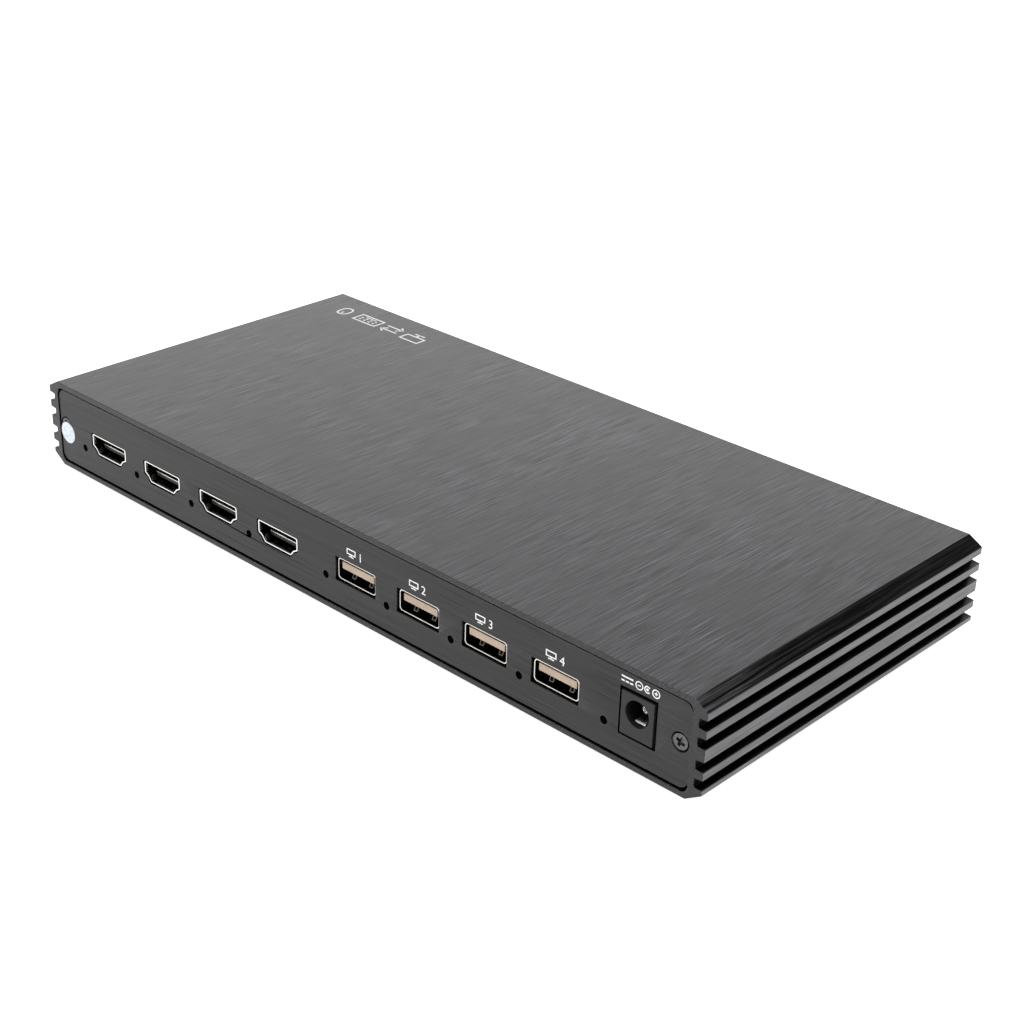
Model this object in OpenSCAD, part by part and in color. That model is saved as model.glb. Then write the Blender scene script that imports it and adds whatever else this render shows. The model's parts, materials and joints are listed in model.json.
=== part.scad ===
// Desktop switch for one screen, keyboard and mouse shared between four computers.
// A one-piece finned aluminium tube holds a circuit board between two end panels.
// Millimetres, +Z up. The origin is under the middle of the case, at the feet's lower face.
// The rear port panel faces -Y and the front panel, with its buttons, faces +Y.

/* [Case] */
// Width over the cooling fins
case_w = 230; // [200:1:300]
// Depth along the extrusion
case_d = 104.5; // [84:0.5:160]
// Height without the feet
case_h = 24.8; // [24.6:0.1:40]
// Thickness of the roof
roof_t = 1.55; // [1:0.05:3]
// Thickness of the floor
floor_t = 1.4; // [1:0.1:3]
// Thickness of the side walls behind the fin slots
side_t = 1.7; // [1:0.1:3]
// Width of the sloping edges along the roof
chamfer_w = 3.75; // [2:0.05:5]
// Height of the sloping edges along the roof
chamfer_h = 2.1; // [1:0.1:2.5]
// Width of the sloping edges along the floor
base_chamfer_w = 4.2; // [2:0.1:5]
// Height of the sloping edges along the floor
base_chamfer_h = 2.7; // [1:0.1:3]
// Inner corner radius of the tube
corner_r = 1.8; // [1:0.1:3]

/* [Cooling fins] */
// Depth of the slots between the fins
fin_depth = 2.1; // [1:0.1:3]
// Height of a slot at its mouth
slot_h = 2.45; // [1.5:0.05:2.8]
// How much a slot closes in above and below towards its root
slot_draft = 0.2; // [0:0.05:0.4]
// Height of the middle fin, which backs the screw channel
mid_fin_h = 3.1; // [2:0.1:3.6]
// Height of the fins next to the middle one
fin_h = 2.0; // [1:0.05:2.2]

/* [Panels] */
// Thickness of the end panels
panel_t = 2; // [1.5:0.1:3]
// How far the panels sit inside the ends of the tube
panel_inset = 0.25; // [0:0.05:1]
// Clearance between a panel and the tube's sides
panel_gap = 0.2; // [0.1:0.05:0.4]
// Clearance between a panel and the tube's roof
panel_gap_above = 0.35; // [0.1:0.05:0.8]
// Clearance between a panel and the tube's floor
panel_gap_below = 0.6; // [0.1:0.05:0.8]
// Corner radius of the panels
panel_corner_r = 2.4; // [1.6:0.1:3]

/* [Panel screws] */
// Distance of the screws from the outer faces of the fins
screw_edge = 6.6; // [6.4:0.1:8]
// Height of the screws above mid-height
screw_rise = 0.4; // [0:0.1:1]
// Diameter of the countersunk heads
screw_head_d = 4.6; // [4:0.1:4.8]
// Diameter over the thread
screw_d = 2.4; // [2:0.1:2.6]
// Length of a screw under its head's face
screw_len = 9; // [6:0.5:14]
// Clearance round a screw in its channel and its panel
screw_gap = 0.05; // [0.02:0.01:0.1]
// Wall of the screw channels
channel_t = 1.15; // [0.8:0.05:1.3]

/* [Circuit board] */
// Thickness of the board
board_t = 1.6; // [1:0.1:2]
// Height of the board's underside above the case's underside
board_lift = 6.4; // [5:0.1:8]
// Clearance of the board at each side wall
board_side_gap = 0.25; // [0.1:0.05:0.5]
// Clearance of the board at each panel
board_end_gap = 0.3; // [0.1:0.05:0.6]
// How far the board rails stand in from the side walls
rail_w = 2.2; // [1.5:0.1:3]
// Thickness of the board rails
rail_t = 1.05; // [0.8:0.05:1.1]
// Clearance between the board and its upper rails
rail_gap = 0.1; // [0.05:0.05:0.2]

/* [Video ports] */
// Centre of the first rear video port
video_x0 = -89.1; // [-90:0.1:-86]
// Spacing of the rear video ports
video_pitch = 23.37; // [20:0.01:24]
// Height of a video port's centre above the board
video_z = 3.2; // [3.2:0.1:4]
// Width of the opening at its top
video_w = 14.1; // [13.9:0.1:14.4]
// Height of the opening
video_h = 4.8; // [4.6:0.1:5]
// Centre of the front video port, to the right of the middle as seen from the front
video_out_x = 80; // [76:0.5:90]

/* [Data ports] */
// Centre of the first rear host port
host_x0 = 9.6; // [8:0.1:12]
// Spacing of the data ports
data_pitch = 21.35; // [18:0.05:22]
// Height of a data port's centre above the board
data_z = 3.8; // [3.6:0.1:5]
// Width of the opening
data_w = 12.6; // [12.4:0.1:12.8]
// Height of the opening
data_h = 5.0; // [4.9:0.1:5.2]
// How far a data port stands back from the panel's face
data_recess = 0.6; // [0.2:0.1:1]
// Centre of the first front device port, to the right as seen from the front
device_x0 = 8; // [4:0.5:12]
// Number of front device ports
device_count = 3; // [1:1:3]

/* [Connector sheet metal] */
// Thickness of the connector shells
sheet_t = 0.4; // [0.2:0.05:0.5]
// Clearance of the connectors in their panel cut-outs
port_gap = 0.3; // [0.2:0.05:0.5]
// Clearance of a moulding inside its shell
insert_gap = 0.05; // [0.02:0.01:0.1]
// Clearance round a leg in its board slot
leg_gap = 0.15; // [0.1:0.05:0.3]

/* [Power jack] */
// Centre of the power jack
jack_x = 97; // [94:0.1:98]
// Width of the jack's body
jack_w = 8.9; // [8.5:0.1:10]
// Height of the jack's body
jack_h = 10.6; // [10:0.1:11]
// Length of the jack's body
jack_len = 14.2; // [12:0.1:16]
// Height of the jack's hole above the board
jack_z = 6.2; // [5.8:0.1:6.4]
// Diameter of the jack's hole
jack_hole_d = 6.3; // [5.8:0.1:6.6]
// Diameter of the jack's centre pin
jack_pin_d = 2.0; // [1.3:0.1:2.5]
// How far the jack's face stands out of the panel
jack_proud = 0.3; // [0:0.05:0.5]
// Clearance of the jack in its cut-out
jack_gap = 0.65; // [0.2:0.05:0.7]

/* [Status lights] */
// Diameter of the holes for the status lights
light_hole_d = 2.0; // [1.5:0.1:2.4]
// Height of those holes above the board
light_z = 0.55; // [0.5:0.05:1]

/* [Buttons] */
// Centre of the first select button, where less than 0 is to the left as seen from the front
button_x0 = -92; // [-93:0.5:-88]
// Spacing of the select buttons
button_pitch = 15; // [13:0.5:16]
// Diameter of a button's cap
button_d = 6; // [5:0.1:7.2]
// Clearance round a cap in its hole
button_gap = 0.15; // [0.1:0.05:0.3]
// How far a cap stands out of the panel
button_proud = 1.2; // [0.8:0.1:2]
// Travel of a button
button_travel = 0.5; // [0.25:0.05:0.6]
// Height of the buttons above the board
button_z = 4.5; // [4.5:0.1:6]

/* [Receiver window and audio jack] */
// Centre of the remote receiver's window, where less than 0 is to the left
window_x = -29.5; // [-32:0.5:-26]
// Diameter of the window
window_d = 5; // [4:0.1:6]
// Centre of the audio jack, where less than 0 is to the left
audio_x = -13; // [-16:0.5:-10]
// Diameter of the audio jack's bore
audio_bore_d = 3.6; // [3.5:0.05:3.7]
// Diameter of the audio jack's nose
audio_nose_d = 6; // [5.5:0.1:7]
// Height of the audio jack's bore above the board
audio_z = 3.9; // [3.5:0.1:5]

/* [Feet and seal] */
// Diameter of the rubber feet
foot_d = 10; // [8:0.5:14]
// Thickness of the rubber feet
foot_t = 1.5; // [1:0.1:4]
// Distance of the feet's centres from the sides and the ends
foot_edge = 14; // [10:0.5:20]
// Diameter of the round seal over one panel screw
seal_d = 6.1; // [5:0.1:8]
// Thickness of the seal
seal_t = 0.12; // [0.05:0.01:0.2]

/* [Hidden] */

$fn = 48;
eps = 0.01;

// Tube and panels
cavity_w = case_w - 2 * (fin_depth + side_t);
cavity_h = case_h - roof_t - floor_t;
cavity_z = floor_t + cavity_h / 2;
mid_z = case_h / 2;
face_y = case_d / 2 - panel_inset;
seat_y = face_y - panel_t;
panel_w = cavity_w - 2 * panel_gap;
panel_h = cavity_h - panel_gap_above - panel_gap_below;
panel_z = floor_t + panel_gap_below + panel_h / 2;
panel_shift = 0.6 * panel_gap;

// Screws
screw_x = case_w / 2 - screw_edge;
screw_z = mid_z + screw_rise;
channel_d = screw_d + 2 * screw_gap;
channel_slit = 1;
clear_hole_d = screw_d + 0.4;
head_sink = 0.1;
head_t = (screw_head_d - screw_d) / 2;
head_rim = 0.15;
thread_pitch = 0.6;
thread_depth = 0.25;
thread_start = head_sink + head_t + 0.4;
screw_tip_r = 0.3;
cross_len = 2.2;
cross_w = 0.56;
cross_depth = 0.7;
cross_turn = 14;
seal_drop = 2.2;

// Board
board_w = cavity_w - 2 * board_side_gap;
board_d = 2 * (seat_y - board_end_gap);
board_top = board_lift + board_t;

// Port places along each panel, as seen facing that panel
video_xs = [for (i = [0:3]) video_x0 + i * video_pitch];
host_xs = [for (i = [0:3]) host_x0 + i * data_pitch];
device_xs = [for (i = [0:device_count - 1]) device_x0 + i * data_pitch];
button_xs = [for (i = [0:3]) button_x0 + i * button_pitch];

// Each status light is this far to the left of what it belongs to
video_light_off = 11;
data_light_off = 10.5;
jack_light_off = 9.1;
front_light_off = 7;
rear_light_xs = concat(
    [for (x = video_xs) x - video_light_off],
    [for (x = host_xs) x - data_light_off],
    [jack_x - jack_light_off]
);
front_light_xs = [for (x = concat(button_xs, [window_x])) x - front_light_off];

// Connectors, measured inwards from the panel's face
video_recess = 0.2;
video_len = 11;
video_floor_w = 9.5;
video_shoulder_w = 11.5;
video_shoulder_h = 1.25;
video_step_h = 0.7;
video_cavity = 8;
video_tongue_w = 10.4;
video_tongue_t = 1.2;
video_tongue_z = -0.75;
video_tongue_recess = 2.1;
contact_t = 0.12;
data_len = 13.6;
data_cavity = 9.4;
data_r = 0.8;
data_tongue_w = 11.1;
data_tongue_t = 1.9;
data_tongue_gap = 0.65;
data_tongue_recess = 0.4;
block_over = 0.8;
leg_w = 1.1;
leg_below = 0.6;
video_leg_ys = [panel_t + 1.6, video_recess + video_len - 1.6];
data_leg_ys = [panel_t + 2.6, data_recess + data_len - 2.8];

// Jack
jack_hole_len = 10.2;
jack_tip_recess = 2.6;
jack_tail_w = 2.6;
jack_tail_t = 0.4;
jack_leaf_w = 2.8;
jack_leaf_t = 0.3;
jack_leaf_room = 0.25;
jack_leaf_start = 1.5;
jack_leaf_crest = 4.5;
jack_leaf_end = 8.2;

// Buttons and switches
crown = 0.12;
edge_r = 0.5;
flange_t = 0.8;
flange_rim = 0.8;
flange_rest = 0.1;
stem_d = 4.4;
plunger_d = 3.4;
switch_w = 6.2;
switch_t = 3.6;
press_room = 0.3;
audio_pocket_x = audio_bore_d / 2 + 0.8;
audio_pocket_y = panel_t + 4;
audio_pocket_len = 8;
audio_pocket_h = 1.6;
audio_spring_t = 0.3;
audio_spring_room = 0.2;
audio_proud = 0.3;
audio_len = 12.4;
plunger_in = 1.1;
stem_end = panel_t + flange_rest + flange_t + 1.6;
switch_front = stem_end + button_travel + press_room;

// Turns a millimetre length along the extrusion into a solid: the outline's y is height.
module along(y0, y1) {
    translate([0, y1, 0])
        rotate([90, 0, 0])
            linear_extrude(y1 - y0)
                children();
}

// Raises the case and all that it holds on to the feet.
module on_feet() {
    translate([0, 0, foot_t])
        children();
}

// Places something in the rear panel: local x to the right, y inwards, z up from the board.
module at_rear(x, z) {
    on_feet()
        translate([x, -face_y, board_top + z])
            children();
}

// The same in the front panel, as seen from the front.
module at_front(x, z) {
    on_feet()
        rotate([0, 0, 180])
            translate([x, -face_y, board_top + z])
                children();
}

// A round solid along local y, from y0 to y1.
module rod(d, y0, y1) {
    translate([0, y0, 0])
        rotate([-90, 0, 0])
            cylinder(d = d, h = y1 - y0);
}

// A block between two corners.
module block(low, high) {
    translate(low)
        cube(high - low);
}

module rounded_rect(w, h, r) {
    square([w - 2 * r, h], center = true);
    square([w, h - 2 * r], center = true);
    for (x = [-1, 1], y = [-1, 1])
        translate([x * (w / 2 - r), y * (h / 2 - r)])
            circle(r);
}

// Outward unit normal of the edge from a to b of an outline that runs anticlockwise.
function outward(a, b) = let (d = b - a) [d[1], -d[0]] / norm(d);

// The outline with every edge moved out by g, meeting again in sharp corners.
function grown(pts, g) = [
    for (i = [0:len(pts) - 1])
        let (p = pts[i],
             m = outward(pts[(i + len(pts) - 1) % len(pts)], p),
             n = outward(p, pts[(i + 1) % len(pts)]))
        p + g * (m + n) / (1 + m * n)
];

// The outline with every corner rounded to radius r, in the given number of steps.
function rounded(pts, r, steps) = [
    for (i = [0:len(pts) - 1])
        let (p = pts[i],
             m = outward(pts[(i + len(pts) - 1) % len(pts)], p),
             n = outward(p, pts[(i + 1) % len(pts)]),
             turn = atan2(m[0] * n[1] - m[1] * n[0], m * n),
             centre = p - sign(turn) * r * (m + n) / (1 + m * n))
        for (k = [0:steps])
            let (a = atan2(m[1], m[0]) + turn * k / steps)
            centre + sign(turn) * r * [cos(a), sin(a)]
];

// Opening of a video port: wide at the top, stepping in twice towards the floor.
video_opening = [
    [-video_floor_w / 2, -video_h / 2],
    [video_floor_w / 2, -video_h / 2],
    [video_shoulder_w / 2, -video_h / 2 + video_shoulder_h],
    [video_w / 2, -video_h / 2 + video_shoulder_h + video_step_h],
    [video_w / 2, video_h / 2],
    [-video_w / 2, video_h / 2],
    [-video_w / 2, -video_h / 2 + video_shoulder_h + video_step_h],
    [-video_shoulder_w / 2, -video_h / 2 + video_shoulder_h]
];

// The video outline grown by g, with its corners rounded.
module video_outline(g) {
    polygon(rounded(grown(video_opening, g), 0.35 + g / 2, 3));
}

module data_outline(g) {
    rounded_rect(data_w + 2 * g, data_h + 2 * g, data_r + g);
}

// ---- Case ----

module case_outline() {
    difference() {
        polygon([
            [-case_w / 2 + base_chamfer_w, 0], [case_w / 2 - base_chamfer_w, 0],
            [case_w / 2, base_chamfer_h], [case_w / 2, case_h - chamfer_h],
            [case_w / 2 - chamfer_w, case_h], [-case_w / 2 + chamfer_w, case_h],
            [-case_w / 2, case_h - chamfer_h], [-case_w / 2, base_chamfer_h]
        ]);
        for (side = [-1, 1], up = [-1, 1], n = [0, 1])
            fin_slot(side, up, mid_fin_h / 2 + n * (slot_h + fin_h));
    }
}

// One slot, its near edge the given distance above or below mid-height.
module fin_slot(side, up, near) {
    mouth_x = side * (case_w / 2 + fin_depth);
    root_x = side * (case_w / 2 - fin_depth);
    polygon([
        [mouth_x, mid_z + up * (near - slot_draft)],
        [root_x, mid_z + up * (near + slot_draft)],
        [root_x, mid_z + up * (near + slot_h - slot_draft)],
        [mouth_x, mid_z + up * (near + slot_h + slot_draft)]
    ]);
}

// Screw channel and the two board rails on one inner wall.
module wall_features(side) {
    channel_r = channel_d / 2 + channel_t;
    wall_x = cavity_w / 2 + side_t / 2;
    difference() {
        union() {
            translate([side * screw_x, screw_z])
                circle(channel_r);
            translate([side * (screw_x + wall_x) / 2, screw_z])
                square([wall_x - screw_x, 2 * channel_r], center = true);
        }
        translate([side * screw_x, screw_z])
            circle(d = channel_d);
        translate([side * (screw_x - channel_r), screw_z])
            square([2 * channel_r, channel_slit], center = true);
    }
    for (z = [board_lift - rail_t, board_top + rail_gap])
        translate([side * (cavity_w / 2 - rail_w / 2 + side_t / 4), z + rail_t / 2])
            square([rail_w + side_t / 2, rail_t], center = true);
}

module case_extrusion() {
    color([0.13, 0.13, 0.14])
        on_feet() {
            along(-case_d / 2, case_d / 2)
                difference() {
                    case_outline();
                    translate([0, cavity_z])
                        rounded_rect(cavity_w, cavity_h, corner_r);
                }
            along(-seat_y, seat_y)
                for (side = [-1, 1])
                    wall_features(side);
        }
}

// ---- Panels ----

// A panel blank with its two countersunk holes, at the rear; the cut-outs are its children.
module panel_plate() {
    difference() {
        on_feet()
            along(-face_y, -seat_y)
                translate([panel_shift, panel_z])
                    rounded_rect(panel_w, panel_h, panel_corner_r);
        for (side = [-1, 1])
            on_feet()
                translate([side * screw_x, -face_y, screw_z]) {
                    rod(clear_hole_d, -1, panel_t + 1);
                    countersink(screw_gap, 1);
                }
        children();
    }
}

// Cone for a screw head, grown by g all round and open outwards for the given length.
module countersink(g, mouth) {
    rotate([-90, 0, 0])
        rotate_extrude()
            polygon([
                [0, -mouth], [screw_head_d / 2 + g, -mouth],
                [screw_head_d / 2 + g, head_sink + head_rim],
                [screw_d / 2, head_sink + head_t + 2 * g], [0, head_sink + head_t + 2 * g]
            ]);
}

module light_hole(x) {
    at_rear(x, light_z)
        rod(light_hole_d, -1, panel_t + 1);
}

module rear_panel() {
    color([0.15, 0.15, 0.16])
        panel_plate() {
            for (x = video_xs)
                at_rear(x, video_z)
                    along(-1, panel_t + 1)
                        video_outline(sheet_t + port_gap);
            for (x = host_xs)
                at_rear(x, data_z)
                    data_cutout();
            at_rear(jack_x, jack_h / 2)
                along(-1, panel_t + 1)
                    square([jack_w + 2 * jack_gap, jack_h + 2 * jack_gap], center = true);
            for (x = rear_light_xs)
                light_hole(x);
        }
}

module data_cutout() {
    along(-1, panel_t + 1)
        square([data_w + 2 * (sheet_t + port_gap), data_h + 2 * (sheet_t + port_gap)], center = true);
}

module front_panel() {
    color([0.15, 0.15, 0.16])
        rotate([0, 0, 180])
            panel_plate() {
                for (x = button_xs)
                    at_rear(x, button_z)
                        rod(button_d + 2 * button_gap, -1, panel_t + 1);
                at_rear(window_x, button_z)
                    rod(window_d + 2 * insert_gap, -1, panel_t + 1);
                at_rear(audio_x, audio_z)
                    rod(audio_nose_d + 2 * port_gap, -1, panel_t + 1);
                for (x = device_xs)
                    at_rear(x, data_z)
                        data_cutout();
                at_rear(video_out_x, video_z)
                    along(-1, panel_t + 1)
                        video_outline(sheet_t + port_gap);
                for (x = front_light_xs)
                    light_hole(x);
            }
}

// Countersunk self-tapping screw with a cross recess, pointing along local y.
module panel_screw() {
    major = screw_d / 2;
    core = major - thread_depth;
    head_r = screw_head_d / 2;
    turns = floor((screw_len - thread_start - 1) / thread_pitch);
    difference() {
        rotate([-90, 0, 0])
            rotate_extrude($fn = 32)
                polygon(concat(
                    [[0, head_sink], [head_r - head_rim, head_sink], [head_r, head_sink + head_rim],
                     [core, head_sink + head_t]],
                    [for (k = [0:turns - 1]) each [
                        [core, thread_start + k * thread_pitch],
                        [major, thread_start + (k + 0.5) * thread_pitch]]],
                    [[core, thread_start + turns * thread_pitch],
                     [screw_tip_r, screw_len], [0, screw_len]]
                ));
        for (turn = [0, 90])
            rotate([0, turn + cross_turn, 0])
                block([-cross_len / 2, head_sink - 0.5, -cross_w / 2],
                      [cross_len / 2, head_sink + cross_depth, cross_w / 2]);
    }
}

module panel_screws() {
    for (side = [-1, 1])
        on_feet()
            translate([side * screw_x, -face_y, screw_z])
                panel_screw();
}

module rear_panel_screws() {
    color([0.1, 0.1, 0.1])
        panel_screws();
}

module front_panel_screws() {
    color([0.1, 0.1, 0.1])
        rotate([0, 0, 180])
            panel_screws();
}

// Round paper seal over the left rear screw, as seen from the rear.
module seal_sticker() {
    color([0.85, 0.9, 0.95])
        on_feet()
            translate([-panel_w / 2 + panel_shift + seal_d / 2, -face_y, screw_z - seal_drop])
                rod(seal_d, -seal_t, 0);
}

module rubber_feet() {
    color([0.06, 0.06, 0.06])
        for (x = [-1, 1], y = [-1, 1])
            translate([x * (case_w / 2 - foot_edge), y * (case_d / 2 - foot_edge), 0])
                rotate_extrude()
                    polygon([
                        [0, 0], [foot_d / 2 - 0.8, 0], [foot_d / 2 - 0.25, 0.25],
                        [foot_d / 2, foot_t], [0, foot_t]
                    ]);
}

// ---- Board ----

module main_board() {
    color([0.05, 0.3, 0.15])
        difference() {
            on_feet()
                block([-board_w / 2, -board_d / 2, board_lift], [board_w / 2, board_d / 2, board_top]);
            for (x = video_xs)
                at_rear(x, video_z)
                    video_legs(leg_gap);
            for (x = host_xs)
                at_rear(x, data_z)
                    data_legs(leg_gap);
            for (x = device_xs)
                at_front(x, data_z)
                    data_legs(leg_gap);
            at_front(video_out_x, video_z)
                video_legs(leg_gap);
            at_rear(jack_x, jack_z) {
                jack_tail(leg_gap);
                leaf_tail(leg_gap);
            }
        }
}

// Four legs of a shell, from its sides down through the board, grown by g.
module shell_legs(half_w, height, depths, g) {
    half = [sheet_t / 2 + g, leg_w / 2 + g, 0];
    for (side = [-1, 1], depth = depths)
        let (middle = [side * (half_w - sheet_t / 2), depth, 0])
            block(middle - half - [0, 0, height + board_t + leg_below + g],
                  middle + half - [0, 0, g > 0 ? height : 0]);
}

// ---- Video ports ----

module video_legs(g) {
    shell_legs(video_w / 2 + sheet_t, video_z, video_leg_ys, g);
}

module video_shell() {
    color([0.8, 0.8, 0.82]) {
        along(video_recess, video_recess + video_len)
            difference() {
                video_outline(sheet_t);
                video_outline(0);
            }
        difference() {
            video_legs(0);
            along(-1, video_recess + video_len + 1)
                video_outline(sheet_t / 2);
        }
    }
}

module video_insert() {
    back = video_recess + video_len;
    color([0.05, 0.05, 0.05]) {
        along(video_recess + video_cavity, back + block_over)
            video_outline(-insert_gap);
        block([-video_floor_w / 2, back, -video_z], [video_floor_w / 2, back + block_over, 0]);
        block(
            [-video_tongue_w / 2, video_recess + video_tongue_recess, video_tongue_z - video_tongue_t / 2],
            [video_tongue_w / 2, video_recess + video_cavity + eps, video_tongue_z + video_tongue_t / 2]
        );
    }
}

// Ten contacts on the tongue and nine under it, half a pitch across.
module video_contact_rows() {
    pitch = 1;
    contact_w = 0.45;
    y0 = video_recess + video_tongue_recess + 0.4;
    y1 = video_recess + video_cavity;
    top = video_tongue_z + video_tongue_t / 2;
    low = video_tongue_z - video_tongue_t / 2;
    for (i = [0:9])
        translate([(i - 4.5) * pitch, 0, 0])
            block([-contact_w / 2, y0, top], [contact_w / 2, y1, top + contact_t]);
    for (i = [0:8])
        translate([(i - 4) * pitch, 0, 0])
            block([-contact_w / 2, y0, low - contact_t], [contact_w / 2, y1, low]);
}

module video_contacts() {
    color([0.85, 0.68, 0.3]) {
        for (x = video_xs)
            at_rear(x, video_z)
                video_contact_rows();
        at_front(video_out_x, video_z)
            video_contact_rows();
    }
}

// ---- Data ports ----

module data_legs(g) {
    shell_legs(data_w / 2 + sheet_t, data_z, data_leg_ys, g);
}

// Windows in the floor, each with a spring tab that stands up a little into the opening.
module data_shell() {
    window_w = 2;
    window_len = 4.4;
    tab_w = 1.3;
    window_y = data_recess + 1.8;
    floor_z = -data_h / 2;
    color([0.85, 0.85, 0.87]) {
        difference() {
            along(data_recess, data_recess + data_len)
                difference() {
                    data_outline(sheet_t);
                    data_outline(0);
                }
            for (x = [-3, 3], up = [-1, 1])
                translate([x, window_y, 0])
                    block([-window_w / 2, 0, up > 0 ? data_h / 2 - 0.5 : floor_z - 1],
                          [window_w / 2, window_len, up > 0 ? data_h / 2 + 1 : floor_z + 0.5]);
        }
        for (x = [-3, 3])
            translate([x - tab_w / 2, window_y, floor_z])
                rotate([90, 0, 90])
                    linear_extrude(tab_w)
                        polygon([
                            [window_len + eps, -sheet_t], [window_len + eps, -0.1],
                            [window_len - 2.6, 0.45], [0.5, 0.25], [0.5, -0.05], [window_len - 2.7, 0.1]
                        ]);
        difference() {
            data_legs(0);
            along(-1, data_recess + data_len + 1)
                data_outline(sheet_t / 2);
        }
    }
}

module data_insert() {
    back = data_recess + data_len;
    tongue_top = data_h / 2 - data_tongue_gap;
    color([0.86, 0.78, 0.7]) {
        along(data_recess + data_cavity, back + block_over)
            data_outline(-insert_gap);
        block([-data_w / 2 + data_r, back, -data_z], [data_w / 2 - data_r, back + block_over, 0]);
        block(
            [-data_tongue_w / 2, data_recess + data_tongue_recess, tongue_top - data_tongue_t],
            [data_tongue_w / 2, data_recess + data_cavity + eps, tongue_top]
        );
    }
}

// Four contacts under the tongue; the outer two, for power, reach further forward.
module data_contact_row() {
    under = data_h / 2 - data_tongue_gap - data_tongue_t;
    for (i = [0:3])
        let (x = [-3.5, -1, 1, 3.5][i], reach = [0.9, 1.9, 1.9, 0.9][i])
            block(
                [x - 0.5, data_recess + data_tongue_recess + reach, under - 0.2],
                [x + 0.5, data_recess + data_cavity, under]
            );
}

module host_port_contacts() {
    color([0.85, 0.68, 0.3])
        for (x = host_xs)
            at_rear(x, data_z)
                data_contact_row();
}

module device_port_contacts() {
    color([0.85, 0.68, 0.3])
        for (x = device_xs)
            at_front(x, data_z)
                data_contact_row();
}

// ---- Power jack: local z is measured from the hole's centre ----

module power_jack_body() {
    front = -jack_proud;
    slot_x = jack_leaf_w / 2 + jack_leaf_room;
    end_y = front + jack_leaf_end;
    base_t = 1.1;
    color([0.07, 0.07, 0.07])
        at_rear(jack_x, jack_z)
            difference() {
                block([-jack_w / 2, front, -jack_z], [jack_w / 2, front + jack_len, jack_h - jack_z]);
                rod(jack_hole_d, front - 1, front + jack_hole_len);
                rod(jack_pin_d + 2 * insert_gap, front, front + jack_len + 1);
                block([-slot_x, front + jack_leaf_start - jack_leaf_room, base_t - jack_z],
                      [slot_x, front + jack_hole_len, 0]);
                block([-slot_x, end_y, -jack_z - 1], [slot_x, end_y + 1, 0]);
            }
}

module power_jack_pin() {
    front = -jack_proud;
    tip = 0.5;
    color([0.85, 0.84, 0.8])
        at_rear(jack_x, jack_z) {
            translate([0, front + jack_tip_recess, 0])
                rotate([-90, 0, 0])
                    rotate_extrude()
                        polygon([
                            [0, 0], [jack_pin_d / 2 - tip, 0], [jack_pin_d / 2, tip],
                            [jack_pin_d / 2, jack_len - jack_tip_recess + jack_tail_t],
                            [0, jack_len - jack_tip_recess + jack_tail_t]
                        ]);
            jack_tail(0);
        }
}

// Flat tail behind the jack, from the pin's end down through the board.
module jack_tail(g) {
    back = -jack_proud + jack_len;
    half_w = jack_tail_w / 2;
    block([-half_w - g, back - g, -jack_z - board_t - leg_below - g],
          [half_w + g, back + jack_tail_t + g, g > 0 ? -jack_z + g : half_w]);
}

// Leaf that bears on the plug's barrel: its free end shows low in the hole.
module power_jack_spring() {
    low = -jack_hole_d / 2 + 0.1;
    crest = low + 0.35;
    dip = low - 1;
    foot = -jack_z + 0.1;
    y1 = jack_leaf_end + jack_leaf_t;
    color([0.8, 0.78, 0.72])
        at_rear(jack_x, jack_z) {
            translate([-jack_leaf_w / 2, -jack_proud, 0])
                rotate([90, 0, 90])
                    linear_extrude(jack_leaf_w)
                        polygon([
                            [jack_leaf_start, low - jack_leaf_t], [jack_leaf_crest, crest - jack_leaf_t],
                            [jack_leaf_end, dip - jack_leaf_t], [jack_leaf_end, foot],
                            [y1, foot], [y1, dip], [jack_leaf_crest, crest], [jack_leaf_start, low]
                        ]);
            leaf_tail(0);
        }
}

// Lower end of the leaf, down through the board.
module leaf_tail(g) {
    back = -jack_proud + jack_leaf_end;
    half_w = 1;
    block([-half_w - g, back - g, -jack_z - board_t - leg_below - g],
          [half_w + g, back + jack_leaf_t + g, g > 0 ? -jack_z + g : -jack_z + 0.5]);
}

// ---- Status lights ----

// Side-view light on the board's edge, its round lens towards the panel.
module status_light() {
    body_d = 1.4;
    base_y = panel_t + board_end_gap + 1.1;
    block([-1.5, base_y, -light_z], [1.5, base_y + 1.2, 0.75]);
    intersection() {
        rod(body_d, base_y - 0.9, base_y + eps);
        block([-1, base_y - 1, -light_z], [1, base_y + 1, 1]);
    }
}

module rear_status_lights() {
    color([0.75, 0.85, 0.95])
        for (x = rear_light_xs)
            at_rear(x, light_z)
                status_light();
}

module front_status_lights() {
    color([0.75, 0.85, 0.95])
        for (x = front_light_xs)
            at_front(x, light_z)
                status_light();
}

// ---- Buttons and switches ----

// Cap with a crowned face, a flange behind the panel and a stem to the switch.
module button_cap() {
    r = button_d / 2;
    edge = r - edge_r;
    rim_y = crown - button_proud + edge_r;
    flange_y = panel_t + flange_rest;
    rotate([-90, 0, 0])
        rotate_extrude()
            polygon(concat(
                [for (k = [0:5]) [edge * k / 5, crown * pow(k / 5, 2) - button_proud]],
                [for (a = [20:20:80]) [edge + edge_r * sin(a), rim_y - edge_r * cos(a)]],
                [[r, rim_y], [r, flange_y], [r + flange_rim, flange_y],
                 [r + flange_rim, flange_y + flange_t], [stem_d / 2, flange_y + flange_t],
                 [stem_d / 2, stem_end], [0, stem_end]]
            ));
}

module select_button(i) {
    color([0.3, 0.3, 0.32])
        at_front(button_xs[i], button_z)
            button_cap();
}

module switch_plunger(i) {
    color([0.1, 0.1, 0.1])
        at_front(button_xs[i], button_z)
            rod(plunger_d, stem_end, switch_front + plunger_in);
}

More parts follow.
